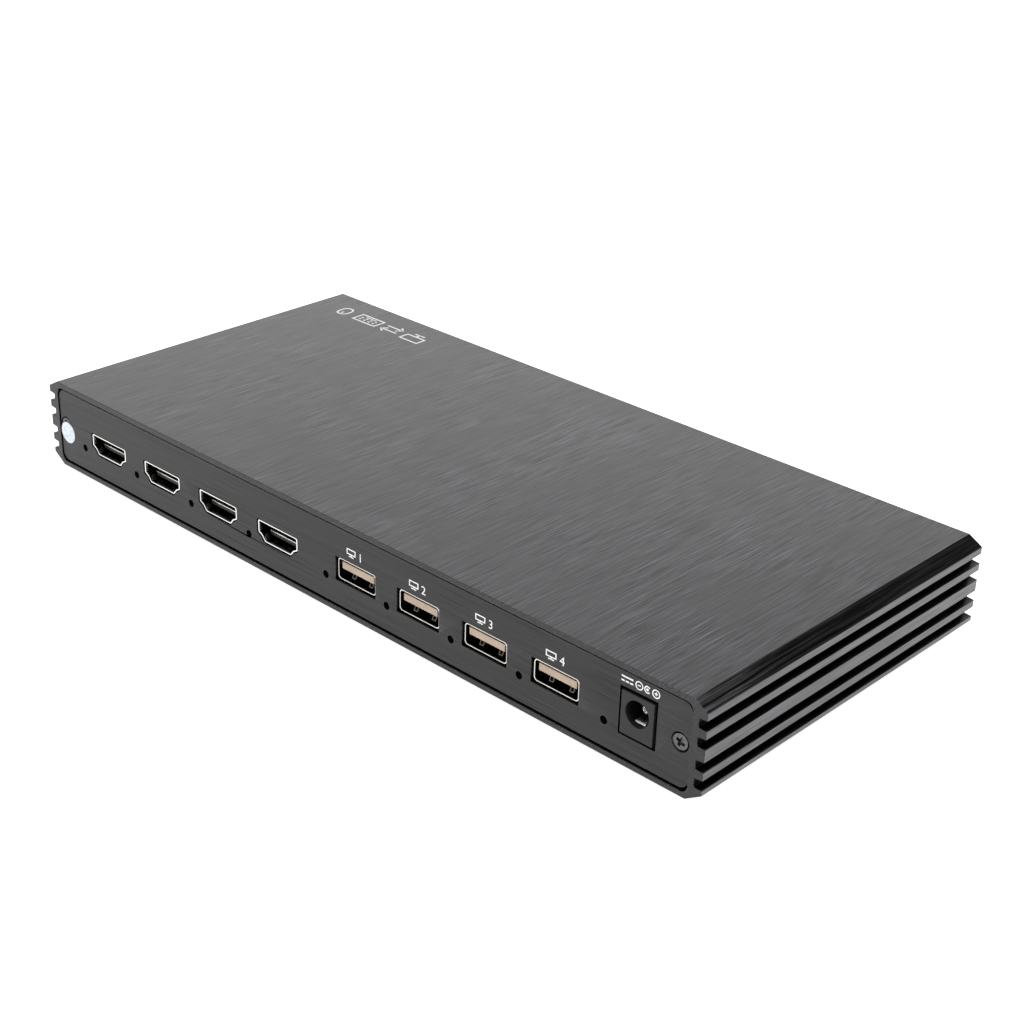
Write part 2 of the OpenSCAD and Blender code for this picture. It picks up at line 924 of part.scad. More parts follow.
// Switch housing standing on the board, with the hole that its plunger moves in.
module switch_housing() {
    well = plunger_in + button_travel + press_room;
    difference() {
        block([-switch_w / 2, switch_front, -button_z],
              [switch_w / 2, switch_front + switch_t, switch_w / 2]);
        rod(plunger_d + 2 * button_gap, switch_front - 1, switch_front + well);
    }
}

module switch_housings() {
    color([0.15, 0.15, 0.16])
        for (x = button_xs)
            at_front(x, button_z)
                switch_housing();
}

// ---- Remote receiver and audio jack ----

module receiver_window() {
    color([0.25, 0.02, 0.05])
        at_front(window_x, button_z) {
            rod(window_d, 0, panel_t + eps);
            rod(window_d + 2 * flange_rim, panel_t, panel_t + 0.6);
        }
}

module remote_receiver() {
    front = panel_t + 2.6;
    color([0.08, 0.07, 0.1])
        at_front(window_x, button_z) {
            block([-2.8, front, -button_z], [2.8, front + 2.4, 2.8]);
            intersection() {
                translate([0, front, 0])
                    sphere(d = 3.6);
                block([-3, front - 3, -3], [3, front + 1, 3]);
            }
        }
}

module audio_jack_body() {
    bore_len = 14;
    half_w = 3.4;
    start = panel_t + 0.4;
    color([0.08, 0.08, 0.08])
        at_front(audio_x, audio_z)
            difference() {
                union() {
                    rod(audio_nose_d, -audio_proud, start + eps);
                    block([-half_w, start, -audio_z], [half_w, start + audio_len, audio_z]);
                }
                rod(audio_bore_d, -1, bore_len);
                for (side = [-1, 1])
                    audio_spring_slot(side);
            }
}

// Pocket beside the bore that holds one spring.
module audio_spring_slot(side) {
    pocket_w = audio_pocket_x - 1;
    translate([side * (audio_pocket_x - pocket_w / 2), audio_pocket_y, 0])
        block([-pocket_w / 2, 0, -audio_pocket_h / 2],
              [pocket_w / 2, audio_pocket_len, audio_pocket_h / 2]);
}

module audio_jack_springs() {
    half = [audio_spring_t / 2, 0, audio_pocket_h / 2 - audio_spring_room];
    long = [0, audio_pocket_len - 2 * audio_spring_room, 0];
    color([0.85, 0.68, 0.3])
        at_front(audio_x, audio_z)
            for (side = [-1, 1])
                translate([side * (audio_pocket_x - half[0]), audio_pocket_y + audio_spring_room, 0])
                    block(-half, half + long);
}

// ---- Parts on the board: places are from the middle of the board ----

chip_at = [-42, 4];
chip_w = 14;
chip_t = 1.2;
pad_t = 0.5;
sink_w = 22;
sink_base_t = 1.6;
sink_h = 8;

// A square or oblong part on the board, w by d and t high.
module board_part(x, y, w, d, t) {
    on_feet()
        translate([x - w / 2, y - d / 2, board_top])
            cube([w, d, t]);
}

module video_chip() {
    color([0.08, 0.08, 0.09])
        board_part(chip_at[0], chip_at[1], chip_w, chip_w, chip_t);
}

module thermal_pad() {
    color([0.6, 0.65, 0.75])
        translate([0, 0, chip_t])
            board_part(chip_at[0], chip_at[1], chip_w, chip_w, pad_t);
}

module heat_sink() {
    fins = 7;
    sink_fin_t = 1.2;
    color([0.12, 0.12, 0.13])
        translate([0, 0, chip_t + pad_t]) {
            board_part(chip_at[0], chip_at[1], sink_w, sink_w, sink_base_t);
            for (i = [0:fins - 1])
                let (x = chip_at[0] + (i / (fins - 1) - 0.5) * (sink_w - sink_fin_t))
                    board_part(x, chip_at[1], sink_fin_t, sink_w, sink_h);
        }
}

// Port hub, controller, two power converters, memory and sound converter.
module logic_chips() {
    color([0.08, 0.08, 0.09]) {
        board_part(32, -8, 10, 10, 1.4);
        board_part(56, 12, 10, 10, 1.4);
        board_part(8, 2, 7, 7, 1);
        board_part(-6, -20, 5, 4, 1.5);
        board_part(14, 26, 5, 4, 1.5);
        board_part(86, -14, 5, 4, 1.5);
        board_part(74, -12, 5, 4, 1.5);
    }
}

// Round can capacitors beside the power input.
module filter_capacitors() {
    can_d = 6.3;
    can_h = 7.7;
    color([0.75, 0.76, 0.78])
        for (place = [[98, -22], [88, -26], [70, -24], [-16, 14]])
            on_feet()
                translate([place[0], place[1], board_top])
                    rotate_extrude()
                        polygon([
                            [0, 0], [can_d / 2 + 0.2, 0], [can_d / 2 + 0.2, 0.9], [can_d / 2, 1.1],
                            [can_d / 2, can_h - 0.4], [can_d / 2 - 0.4, can_h], [0, can_h]
                        ]);
}

module power_inductors() {
    color([0.25, 0.25, 0.27])
        for (place = [[80, -20], [64, -14], [-24, -12]])
            board_part(place[0], place[1], 6, 6, 3);
}

// Rows of resistors and capacitors behind the ports, and the clock crystals.
module small_parts() {
    color([0.55, 0.5, 0.42]) {
        for (x = video_xs, i = [-3:3])
            board_part(x + i * 1.8, -face_y + 18, 0.9, 1.6, 0.6);
        for (x = host_xs, i = [-2:2])
            board_part(x + i * 2, -face_y + 20, 1, 1.8, 0.7);
        for (i = [0:5])
            board_part(chip_at[0] - 15, chip_at[1] + (i - 2.5) * 2.6, 1.8, 1, 0.7);
        board_part(24, 4, 5, 3.2, 1.1);
        board_part(chip_at[0] + 18, chip_at[1], 5, 3.2, 1.1);
    }
}

// ---- What is drawn ----

case_extrusion();
rear_panel();
front_panel();
rear_panel_screws();
front_panel_screws();
seal_sticker();
rubber_feet();
main_board();
at_rear(video_xs[0], video_z) video_shell();  // video_in_shell_1
at_rear(video_xs[1], video_z) video_shell();  // video_in_shell_2
at_rear(video_xs[2], video_z) video_shell();  // video_in_shell_3
at_rear(video_xs[3], video_z) video_shell();  // video_in_shell_4
at_rear(video_xs[0], video_z) video_insert();  // video_in_insert_1
at_rear(video_xs[1], video_z) video_insert();  // video_in_insert_2
at_rear(video_xs[2], video_z) video_insert();  // video_in_insert_3
at_rear(video_xs[3], video_z) video_insert();  // video_in_insert_4
at_front(video_out_x, video_z) video_shell();  // video_out_shell
at_front(video_out_x, video_z) video_insert();  // video_out_insert
video_contacts();
at_rear(host_xs[0], data_z) data_shell();  // host_port_shell_1
at_rear(host_xs[1], data_z) data_shell();  // host_port_shell_2
at_rear(host_xs[2], data_z) data_shell();  // host_port_shell_3
at_rear(host_xs[3], data_z) data_shell();  // host_port_shell_4
at_rear(host_xs[0], data_z) data_insert();  // host_port_insert_1
at_rear(host_xs[1], data_z) data_insert();  // host_port_insert_2
at_rear(host_xs[2], data_z) data_insert();  // host_port_insert_3
at_rear(host_xs[3], data_z) data_insert();  // host_port_insert_4
host_port_contacts();
at_front(device_xs[0], data_z) data_shell();  // device_port_shell_1
at_front(device_xs[1], data_z) data_shell();  // device_port_shell_2
at_front(device_xs[2], data_z) data_shell();  // device_port_shell_3
at_front(device_xs[0], data_z) data_insert();  // device_port_insert_1
at_front(device_xs[1], data_z) data_insert();  // device_port_insert_2
at_front(device_xs[2], data_z) data_insert();  // device_port_insert_3
device_port_contacts();
power_jack_body();
power_jack_pin();
power_jack_spring();
rear_status_lights();
front_status_lights();
select_button(0);  // select_button_1
select_button(1);  // select_button_2
select_button(2);  // select_button_3
select_button(3);  // select_button_4
switch_plunger(0);  // switch_plunger_1
switch_plunger(1);  // switch_plunger_2
switch_plunger(2);  // switch_plunger_3
switch_plunger(3);  // switch_plunger_4
switch_housings();
receiver_window();
remote_receiver();
audio_jack_body();
audio_jack_springs();
video_chip();
thermal_pad();
heat_sink();
logic_chips();
filter_capacitors();
power_inductors();
small_parts();
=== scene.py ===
import json
import math

import bmesh
import bpy
import numpy as np
from mathutils import Matrix, Vector
from mathutils.geometry import delaunay_2d_cdt


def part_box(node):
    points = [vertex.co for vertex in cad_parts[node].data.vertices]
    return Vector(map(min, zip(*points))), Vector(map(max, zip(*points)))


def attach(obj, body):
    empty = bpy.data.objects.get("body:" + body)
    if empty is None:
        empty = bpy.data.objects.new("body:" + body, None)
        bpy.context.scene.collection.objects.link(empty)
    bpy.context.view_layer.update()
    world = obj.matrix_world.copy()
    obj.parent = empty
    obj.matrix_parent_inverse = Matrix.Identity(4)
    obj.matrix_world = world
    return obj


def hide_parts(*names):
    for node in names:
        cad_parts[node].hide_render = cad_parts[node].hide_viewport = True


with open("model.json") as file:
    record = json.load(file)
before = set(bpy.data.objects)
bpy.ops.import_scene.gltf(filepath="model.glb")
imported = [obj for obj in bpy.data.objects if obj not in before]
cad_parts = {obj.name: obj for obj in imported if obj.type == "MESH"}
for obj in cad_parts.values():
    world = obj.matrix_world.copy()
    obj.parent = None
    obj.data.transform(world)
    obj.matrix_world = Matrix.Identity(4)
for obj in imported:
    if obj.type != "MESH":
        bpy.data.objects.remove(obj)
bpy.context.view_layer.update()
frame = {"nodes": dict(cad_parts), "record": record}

# A finned, black anodised desktop switch on a pale floor. Metres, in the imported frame.
MM = 0.001
CHASSIS = "chassis"
node_slot = {s["node"]: s["material_slot"] for s in frame["record"]["subparts"]}
MIDDLE_Z = sum(c[2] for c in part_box("case_extrusion")) / 2


def corners(node):
    """A node's lowest and highest corner as arrays."""
    low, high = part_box(node)
    return np.array(low), np.array(high)


# ---- Camera ----

CAMERA_AT = np.array([0.29835, -0.30963, 0.22518])
AZIMUTH, ELEVATION, ROLL = (math.radians(a) for a in (42.82, 26.64, 1.803))
LENS = 65.23


def add_camera():
    """The view looks along the azimuth, down by the elevation, and is then rolled about its own axis."""
    ahead = np.array([
        -math.sin(AZIMUTH) * math.cos(ELEVATION),
        math.cos(AZIMUTH) * math.cos(ELEVATION),
        -math.sin(ELEVATION),
    ])
    level = np.array([math.cos(AZIMUTH), math.sin(AZIMUTH), 0.0])
    up = np.cross(level, ahead)
    right = math.cos(ROLL) * level + math.sin(ROLL) * up
    top = math.cos(ROLL) * up - math.sin(ROLL) * level
    data = bpy.data.cameras.new("camera")
    data.lens, data.sensor_width, data.clip_start, data.clip_end = LENS, 36, 0.01, 100
    camera = bpy.data.objects.new("camera", data)
    bpy.context.scene.collection.objects.link(camera)
    turn = Matrix(np.column_stack([right, top, -ahead]).tolist()).to_4x4()
    camera.matrix_world = Matrix.Translation(CAMERA_AT.tolist()) @ turn
    bpy.context.scene.camera = camera


add_camera()

# ---- Materials ----

PANEL_FACE = -corners("rear_panel")[0][1]
CASE_SIDE = corners("case_extrusion")[1][0]
# How far out the fin slots' painted shade is darkest and where they are plain, and how far they reach above
# the middle.
FIN_PAINTED_SHADE = (CASE_SIDE - 1.0 * MM, CASE_SIDE - 0.1 * MM)
FIN_REACH = 9.2 * MM
# The size of a normal's Y part on a face that is no end face, and on one that is wholly an end face.
END_FACE = (0.75, 0.95)


def shade(colour, gain):
    """A colour times a number, each part at most 1."""
    return tuple(min(c * gain, 1) for c in colour)


class Finish:
    """A material and the small node graph behind it. Every pattern reads Object coordinates."""

    def __init__(self, name, **values):
        self.material = bpy.data.materials.new(name)
        self.material.use_nodes = True
        self.tree = self.material.node_tree
        self.shader = self.tree.nodes["Principled BSDF"]
        self.place = self.node("ShaderNodeTexCoord").outputs["Object"]
        self.bumps = None
        for key, value in values.items():
            self.set(key.replace("_", " ").title().replace("Ior", "IOR"), value)

    def node(self, kind, **settings):
        made = self.tree.nodes.new(kind)
        for key, value in settings.items():
            setattr(made, key, value)
        return made

    def feed(self, target, source):
        """Links a socket, or sets a plain value, on an input."""
        if isinstance(source, bpy.types.NodeSocket):
            self.tree.links.new(source, target)
        else:
            target.default_value = source

    def set(self, key, source):
        if isinstance(source, tuple) and len(source) == 3:
            source = (*source, 1)
        self.feed(self.shader.inputs[key], source)

    def noise(self, size, detail=2.0, rough=0.55, seed=0.0):
        """Noise whose grains have the given lengths along x, y and z, in metres. It is from 0 to 1."""
        size = (size,) * 3 if isinstance(size, float) else size
        at = self.node("ShaderNodeMapping")
        self.feed(at.inputs["Vector"], self.place)
        at.inputs["Scale"].default_value = [1 / s for s in size]
        at.inputs["Location"].default_value = (seed, seed * 1.7, seed * 0.6)
        made = self.node("ShaderNodeTexNoise")
        self.feed(made.inputs["Vector"], at.outputs["Vector"])
        made.inputs["Scale"].default_value = 1.0
        made.inputs["Detail"].default_value = detail
        made.inputs["Roughness"].default_value = rough
        return made.outputs["Fac"]

    def range(self, value, low, high, to_low=0.0, to_high=1.0):
        """Carries values between low and high to the second pair, and holds the ends."""
        made = self.node("ShaderNodeMapRange", clamp=True)
        sockets = ("Value", "From Min", "From Max", "To Min", "To Max")
        for key, v in zip(sockets, (value, low, high, to_low, to_high)):
            self.feed(made.inputs[key], v)
        return made.outputs["Result"]

    def math(self, operation, a, b=0.0):
        made = self.node("ShaderNodeMath", operation=operation)
        self.feed(made.inputs[0], a)
        self.feed(made.inputs[1], b)
        return made.outputs[0]

    def mix(self, share, a, b):
        """Colour a where share is 0 and colour b where it is 1."""
        made = self.node("ShaderNodeMix", data_type="RGBA")
        for i, v in ((0, share), (6, a), (7, b)):
            self.feed(made.inputs[i], (*v, 1) if isinstance(v, tuple) and len(v) == 3 else v)
        return made.outputs[2]

    def bump(self, height, depth):
        """Adds relief of the given depth in metres."""
        made = self.node("ShaderNodeBump")
        made.inputs["Distance"].default_value = depth
        self.feed(made.inputs["Height"], height)
        if self.bumps is not None:
            self.feed(made.inputs["Normal"], self.bumps)
        self.bumps = made.outputs["Normal"]
        self.set("Normal", self.bumps)

    def edge(self, radius, low=0.004, high=0.05):
        """From 0 on flat faces to 1 on outer edges: how far a rounded-off normal leans from the true one."""
        rounded = self.node("ShaderNodeBevel", samples=6)
        rounded.inputs["Radius"].default_value = radius
        true = self.node("ShaderNodeNewGeometry")
        lean = self.node("ShaderNodeVectorMath", operation="DOT_PRODUCT")
        self.feed(lean.inputs[0], rounded.outputs["Normal"])
        self.feed(lean.inputs[1], true.outputs["Normal"])
        return self.range(self.math("SUBTRACT", 1.0, lean.outputs["Value"]), low, high)

    def part(self, vector, axis, size=True):
        """One component of a vector, or how large it is."""
        parts = self.node("ShaderNodeSeparateXYZ")
        self.feed(parts.inputs[0], vector)
        return self.math("ABSOLUTE", parts.outputs[axis]) if size else parts.outputs[axis]

    def facing(self, axis, low, high):
        """From 0 to 1 as the size of the face normal's component along an axis goes from low to high."""
        normal = self.node("ShaderNodeNewGeometry").outputs["True Normal"]
        return self.range(self.part(normal, axis), low, high)

    def inside(self, start, end, least):
        """Painted shade in the ports: from 1 at the first depth behind the panels' faces down to the least at
        the second.
        """
        return self.range(self.part(self.place, "Y"), PANEL_FACE - end, PANEL_FACE - start, least, 1.0)

    def tube_shade(self, seed):
        """Painted shade on the tube: the fin slots are painted darker towards their roots. The sloping edges
        are painted dark, but for streaks along Y, which are painted brighter towards the rear."""
        height = self.math("ABSOLUTE", self.math("SUBTRACT", self.part(self.place, "Z"), MIDDLE_Z))
        # Painted shade in the fin slots, darkest at their roots.
        painted_slot_shade = self.range(self.part(self.place, "X"), *FIN_PAINTED_SHADE, 0.1, 1.0)
        beyond = self.range(height, FIN_REACH, FIN_REACH + 0.1 * MM)
        painted_slot_shade = self.math("MAXIMUM", painted_slot_shade, self.math("MAXIMUM", beyond, self.facing("Y", *END_FACE)))
        # Painted shade and light on the sloping edges: brushed streaks, painted dark at the front and
        # brighter towards the rear.
        slope = self.math("MULTIPLY", self.facing("X", 0.25, 0.35), self.facing("X", 0.8, 0.7))
        grain = self.noise((0.34 * MM, 30 * MM, 0.34 * MM), 3.0, 0.6, seed + 7)
        streaks = self.range(grain, 0.41, 0.6, 0.05, 1.2)
        painted_rear_light = self.range(self.part(self.place, "Y", False), -20 * MM, -50 * MM, 0.34, 1.3)
        streaks = self.math("MULTIPLY", streaks, painted_rear_light)
        return self.math("MULTIPLY", painted_slot_shade, self.range(slope, 0.0, 1.0, 1.0, streaks))

    def scaled(self, colour, share):
        """The colour times a number."""
        made = self.node("ShaderNodeVectorMath", operation="SCALE")
        self.feed(made.inputs[0], colour)
        self.feed(made.inputs["Scale"], share)
        return made.outputs["Vector"]


# Scratches: the noise under which they are darkest and over which they are lightest, and both gains.
FINE_BRUSH = (0.3, 0.74, 0.4, 1.9)
COARSE_BRUSH = (0.36, 0.64, 0.28, 2.5)


def brushed(name, base, streak, depth, seed, rough=0.4, ends=1.0, tube=False):
    """Black anodised aluminium, brushed: long thin grains, darker and lighter scratches in patches. The end
    faces are painted darker, times the number ends; the tube has its own coarser brushing and painted shade."""
    f = Finish(name, metallic=1.0, specular_ior_level=0.5)
    fine = f.noise(streak, 3.0, 0.6, seed)
    broad = f.noise(tuple(s * 2.6 for s in streak), 2.0, 0.5, seed + 4)
    long = f.noise(tuple(s * 0.9 for s in streak), 1.0, 0.4, seed + 9)
    patch = f.range(f.noise(22 * MM, 2.0, 0.5, seed + 2), 0.38, 0.66)
    low, high, deep, bright = COARSE_BRUSH if tube else FINE_BRUSH
    dark = f.math("MULTIPLY", f.range(long, low + 0.15, low), f.range(patch, 0.0, 1.0, 0.45, 1.0))
    light = f.math("MULTIPLY", f.range(fine, high - 0.14, high), f.range(patch, 0.0, 1.0, 0.4, 1.0))
    grey = f.mix(f.range(broad, 0.32, 0.68), shade(base, 0.9), shade(base, 1.1))
    grey = f.mix(f.math("MULTIPLY", dark, 0.85), grey, shade(base, deep))
    grey = f.mix(f.math("MULTIPLY", light, 0.75), grey, shade(base, bright))
    rubs = f.range(f.noise(1.2 * MM, 3.0, 0.7, seed + 5), 0.42, 0.72, 0.1, 1.0)
    worn = f.math("MULTIPLY", f.edge(0.22 * MM), rubs)
    grey = f.mix(f.math("MULTIPLY", worn, 0.45), grey, (0.3, 0.3, 0.31))
    # Painted shade: faces whose normals lie along Y are darkened by the number ends.
    grey = f.scaled(grey, f.range(f.facing("Y", *END_FACE), 0.0, 1.0, 1.0, ends))
    # On the tube, the painted shade of the fin slots and sloping edges is laid over the colour.
    f.set("Base Color", f.scaled(grey, f.tube_shade(seed)) if tube else grey)
    f.set("Roughness", f.range(fine, 0.3, 0.7, rough - 0.07, rough + 0.07))
    f.bump(fine, depth)
    return f.material


def plated(name, base, rough, smudge, wear, depths=None):
    """Bright plated metal: a faint brushed grain, soft smudges, and edges rubbed a little. The depths are
    those of inside(), for painted shade that darkens a port towards its back."""
    f = Finish(name, metallic=1.0, specular_ior_level=0.5)
    stain = f.noise(smudge, 3.0, 0.6, 3.0)
    grain = f.noise((0.1 * MM, 0.8 * MM, 0.1 * MM), 2.0, 0.5, 7.0)
    colour = f.mix(f.range(stain, 0.35, 0.7), base, shade(base, 0.84))
    colour = f.mix(f.math("MULTIPLY", f.edge(0.1 * MM), 0.3), colour, wear)
    # Painted shade: with depths, the colour darkens towards the back of the port.
    f.set("Base Color", f.scaled(colour, f.inside(*depths)) if depths else colour)
    f.set("Roughness", f.range(stain, 0.3, 0.7, rough * 0.8, rough * 1.4))
    f.bump(grain, 0.000004)
    return f.material


def moulded(name, base, rough, grain=0.12 * MM, depth=0.006 * MM, mottle=0.08, edge_gain=1.6,
            depths=None, **values):
    """Moulded plastic or rubber: a fine spark-eroded grain, faint mottling, and edges rubbed lighter."""
    f = Finish(name, **values)
    spots = f.noise(grain, 2.0, 0.6, 1.0)
    cloud = f.noise(grain * 30, 3.0, 0.55, 5.0)
    colour = f.mix(f.range(cloud, 0.3, 0.7), shade(base, 1 - mottle), shade(base, 1 + mottle))
    rubbed = f.math("MULTIPLY", f.edge(0.1 * MM), f.range(cloud, 0.4, 0.7, 0.1, 0.7))
    colour = f.mix(rubbed, colour, shade(base, edge_gain))
    # Painted shade: with depths, the colour darkens towards the back of the port.
    f.set("Base Color", f.scaled(colour, f.inside(*depths)) if depths else colour)
    f.set("Roughness", f.range(spots, 0.3, 0.7, rough - 0.06, rough + 0.06))
    f.bump(spots, depth)
    return f.material


def laminate(name):
    """Green solder mask over copper: straight tracks show as slightly lighter and higher lanes."""
    f = Finish(name, coat_weight=0.3, coat_roughness=0.15)
    lanes = f.range(f.noise((0.0006, 0.02, 0.01), 1.0, 0.4, 2.0), 0.5, 0.54)
    cross = f.range(f.noise((0.02, 0.0006, 0.01), 1.0, 0.4, 6.0), 0.55, 0.58)
    copper = f.math("MAXIMUM", lanes, cross)
    f.set("Base Color", f.mix(copper, (0.006, 0.06, 0.026), (0.02, 0.13, 0.05)))
    f.set("Roughness", f.range(f.noise(0.0004, 2.0), 0.3, 0.7, 0.28, 0.42))
    f.bump(copper, 0.00003)
    return f.material


def paper(name):
    """Bluish white seal paper with a faint woven security pattern."""
    f = Finish(name)
    warp = f.noise((0.0003, 0.0003, 0.0012), 2.0, 0.5, 3.0)
    weft = f.noise((0.0009, 0.0009, 0.00035), 2.0, 0.5, 8.0)
    pattern = f.range(f.math("MULTIPLY", warp, weft), 0.16, 0.34)
    f.set("Base Color", f.mix(pattern, (0.80, 0.84, 0.87), (0.56, 0.65, 0.76)))
    f.set("Roughness", f.range(warp, 0.3, 0.7, 0.55, 0.75))
    f.bump(weft, 0.000008)
    return f.material


def lens(name, base, rough, **values):
    """A clear or tinted moulding with a faint swirl in its surface."""
    f = Finish(name, coat_weight=0.6, coat_roughness=0.05, **values)
    swirl = f.noise(0.0009, 2.0, 0.5, 2.0)
    f.set("Base Color", f.mix(f.range(swirl, 0.3, 0.7), base, shade(base, 0.8)))
    f.set("Roughness", f.range(swirl, 0.3, 0.7, rough * 0.8, rough * 1.3))
    f.bump(swirl, 0.000004)
    return f.material


SHEEN = {"sheen_weight": 0.15, "sheen_roughness": 0.5}
BRIGHT_EDGE = (0.98, 0.97, 0.95)
TUBE_GRAIN = (0.17 * MM, 13 * MM, 0.17 * MM)
PANEL_GRAIN = (30 * MM, 0.4 * MM, 0.26 * MM)
SINK_GRAIN = (0.4 * MM, 30 * MM, 0.4 * MM)
# Painted shade in the ports: depths behind the panels' faces, from plain to darkest, and the darkest shade.
VIDEO_SHELL_PAINTED_SHADE = (0.62 * MM, 0.82 * MM, 0.2)
DATA_SHELL_PAINTED_SHADE = (0.605 * MM, 0.69 * MM, 0.16)
DATA_TONGUE_PAINTED_SHADE = (1.1 * MM, 2.0 * MM, 0.12)
JACK_PAINTED_SHADE = (0.0, 0.8 * MM, 0.2)
finishes = {
    # The case's end faces are painted darker, at 0.44 of the rest.
    "case_anodised": brushed(
        "case_anodised", (0.102, 0.102, 0.106), TUBE_GRAIN, 0.008 * MM, 1.0, 0.36, ends=0.44, tube=True),
    "panel_anodised": brushed("panel_anodised", (0.043, 0.043, 0.044), PANEL_GRAIN, 0.003 * MM, 3.0),
    "sink_anodised": brushed("sink_anodised", (0.05, 0.05, 0.052), SINK_GRAIN, 0.01 * MM, 5.0),
    "black_screw": plated("black_screw", (0.115, 0.115, 0.12), 0.38, 0.9 * MM, (0.4, 0.4, 0.4)),
    "port_steel": plated("port_steel", (0.82, 0.81, 0.79), 0.17, 4 * MM, BRIGHT_EDGE, VIDEO_SHELL_PAINTED_SHADE),
    "jack_metal": plated("jack_metal", (0.9, 0.89, 0.87), 0.3, 0.8 * MM, (0.98, 0.98, 0.97)),
    "contact_gold": plated("contact_gold", (0.85, 0.62, 0.26), 0.2, 2 * MM, (0.95, 0.75, 0.4)),
    "can_aluminium": plated("can_aluminium", (0.75, 0.76, 0.78), 0.25, 4 * MM, (0.9, 0.9, 0.9)),
    "port_black": moulded("port_black", (0.012, 0.012, 0.013), 0.42),
    "port_cream": moulded(
        "port_cream", (0.46, 0.345, 0.255), 0.42, mottle=0.1, edge_gain=1.9, depths=DATA_TONGUE_PAINTED_SHADE),
    "jack_plastic": moulded(
        "jack_plastic", (0.012, 0.012, 0.0125), 0.5, depths=JACK_PAINTED_SHADE, specular_ior_level=0.32),
    "switch_plastic": moulded("switch_plastic", (0.03, 0.03, 0.032), 0.5),
    "button_plastic": moulded("button_plastic", (0.05, 0.05, 0.053), 0.38, 0.2 * MM, 0.008 * MM),
    "foot_rubber": moulded("foot_rubber", (0.018, 0.018, 0.018), 0.8, 0.3 * MM, 0.02 * MM, **SHEEN),
    "pad_silicone": moulded("pad_silicone", (0.35, 0.42, 0.6), 0.7, 0.3 * MM, 0.01 * MM, **SHEEN),
    "chip_epoxy": moulded("chip_epoxy", (0.02, 0.02, 0.022), 0.55, 0.15 * MM, 0.01 * MM),
    "ferrite": moulded("ferrite", (0.09, 0.09, 0.1), 0.7, 0.3 * MM, 0.02 * MM),
    "component_ceramic": moulded(
        "component_ceramic", (0.32, 0.24, 0.16), 0.5, 0.3 * MM, 0.01 * MM, mottle=0.4),
    "board_laminate": laminate("board_laminate"),
    "seal_paper": paper("seal_paper"),
    "light_lens": lens("light_lens", (0.6, 0.66, 0.7), 0.25, transmission_weight=0.4),
    "window_red": lens("window_red", (0.06, 0.002, 0.006), 0.12),
}
data_steel = plated("data_port_steel", (0.74, 0.71, 0.67), 0.2, 4 * MM, BRIGHT_EDGE, DATA_SHELL_PAINTED_SHADE)
# A darker copy of the port steel for the tabs deep in the data ports: painted shade.
tab_steel_painted_shade = plated("tab_steel_painted_shade", (0.2, 0.185, 0.17), 0.35, 1 * MM, (0.5, 0.48, 0.45))
spring_steel = plated("spring_steel", (0.8, 0.78, 0.74), 0.3, 1 * MM, (0.95, 0.94, 0.92))
print_white = moulded(
    "print_white", (0.86, 0.86, 0.86), 0.55, 0.1 * MM, 0.003 * MM, mottle=0.05, edge_gain=1.0)

for name, node in frame["nodes"].items():
    for place in node.material_slots:
        place.material = finishes[node_slot[name]]

# ---- Making meshes ----


def add_piece(name, mesh, slot, body=CHASSIS, replaced=(), material=None, smooth=28.0):
    """Puts a finished mesh in the scene with the slot's finish, or the given material, on its body, and hides
    the nodes that it stands for.
    """
    mesh.polygons.foreach_set("use_smooth", np.ones(len(mesh.polygons), bool))
    mesh.set_sharp_from_angle(angle=math.radians(smooth))
    mesh.materials.clear()
    mesh.materials.append(material or finishes[slot])
    piece = bpy.data.objects.new(name, mesh)
    bpy.context.scene.collection.objects.link(piece)
    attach(piece, body)
    if replaced:
        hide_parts(*replaced)
    return piece


def edged(node, width, segments=2, body=CHASSIS):
    """The node's own shape, its doubles merged and its flat faces joined, with every sharp edge rounded."""
    work = bmesh.new()
    work.from_mesh(frame["nodes"][node].data)
    bmesh.ops.remove_doubles(work, verts=work.verts, dist=1e-6)
    bmesh.ops.dissolve_limit(work, angle_limit=math.radians(0.4), verts=work.verts, edges=work.edges)
    mesh = bpy.data.meshes.new(node + "_edged")
    work.to_mesh(mesh)
    work.free()
    piece = add_piece(node + "_edged", mesh, node_slot[node], body, (node,))
    bevel = piece.modifiers.new("rounded edges", "BEVEL")
    bevel.width, bevel.segments, bevel.limit_method = width, segments, "ANGLE"
    bevel.angle_limit = math.radians(29)
    bevel.use_clamp_overlap = False
    bevel.harden_normals = True
    bevel.miter_outer = "MITER_ARC"
    return piece


# Widths of the rounded edges, in mm.
EDGE_WIDTHS = {
    "case_extrusion": 0.16, "rear_panel": 0.1, "front_panel": 0.1, "main_board": 0.05,
    "power_jack_body": 0.14, "audio_jack_body": 0.14, "heat_sink": 0.15,
    "video_out_shell": 0.13, "video_out_insert": 0.08, "receiver_window": 0.1,
}
for i in range(1, 5):
    EDGE_WIDTHS[f"video_in_shell_{i}"] = 0.13
    EDGE_WIDTHS[f"video_in_insert_{i}"] = 0.08
    EDGE_WIDTHS[f"host_port_shell_{i}"] = 0.13
    EDGE_WIDTHS[f"host_port_insert_{i}"] = 0.12
for i in range(1, 4):
    EDGE_WIDTHS[f"device_port_shell_{i}"] = 0.13
    EDGE_WIDTHS[f"device_port_insert_{i}"] = 0.12
for name, width in EDGE_WIDTHS.items():
    piece = edged(name, width * MM)
    if "host_port_shell" in name or "device_port_shell" in name:
        piece.data.materials[0] = data_steel


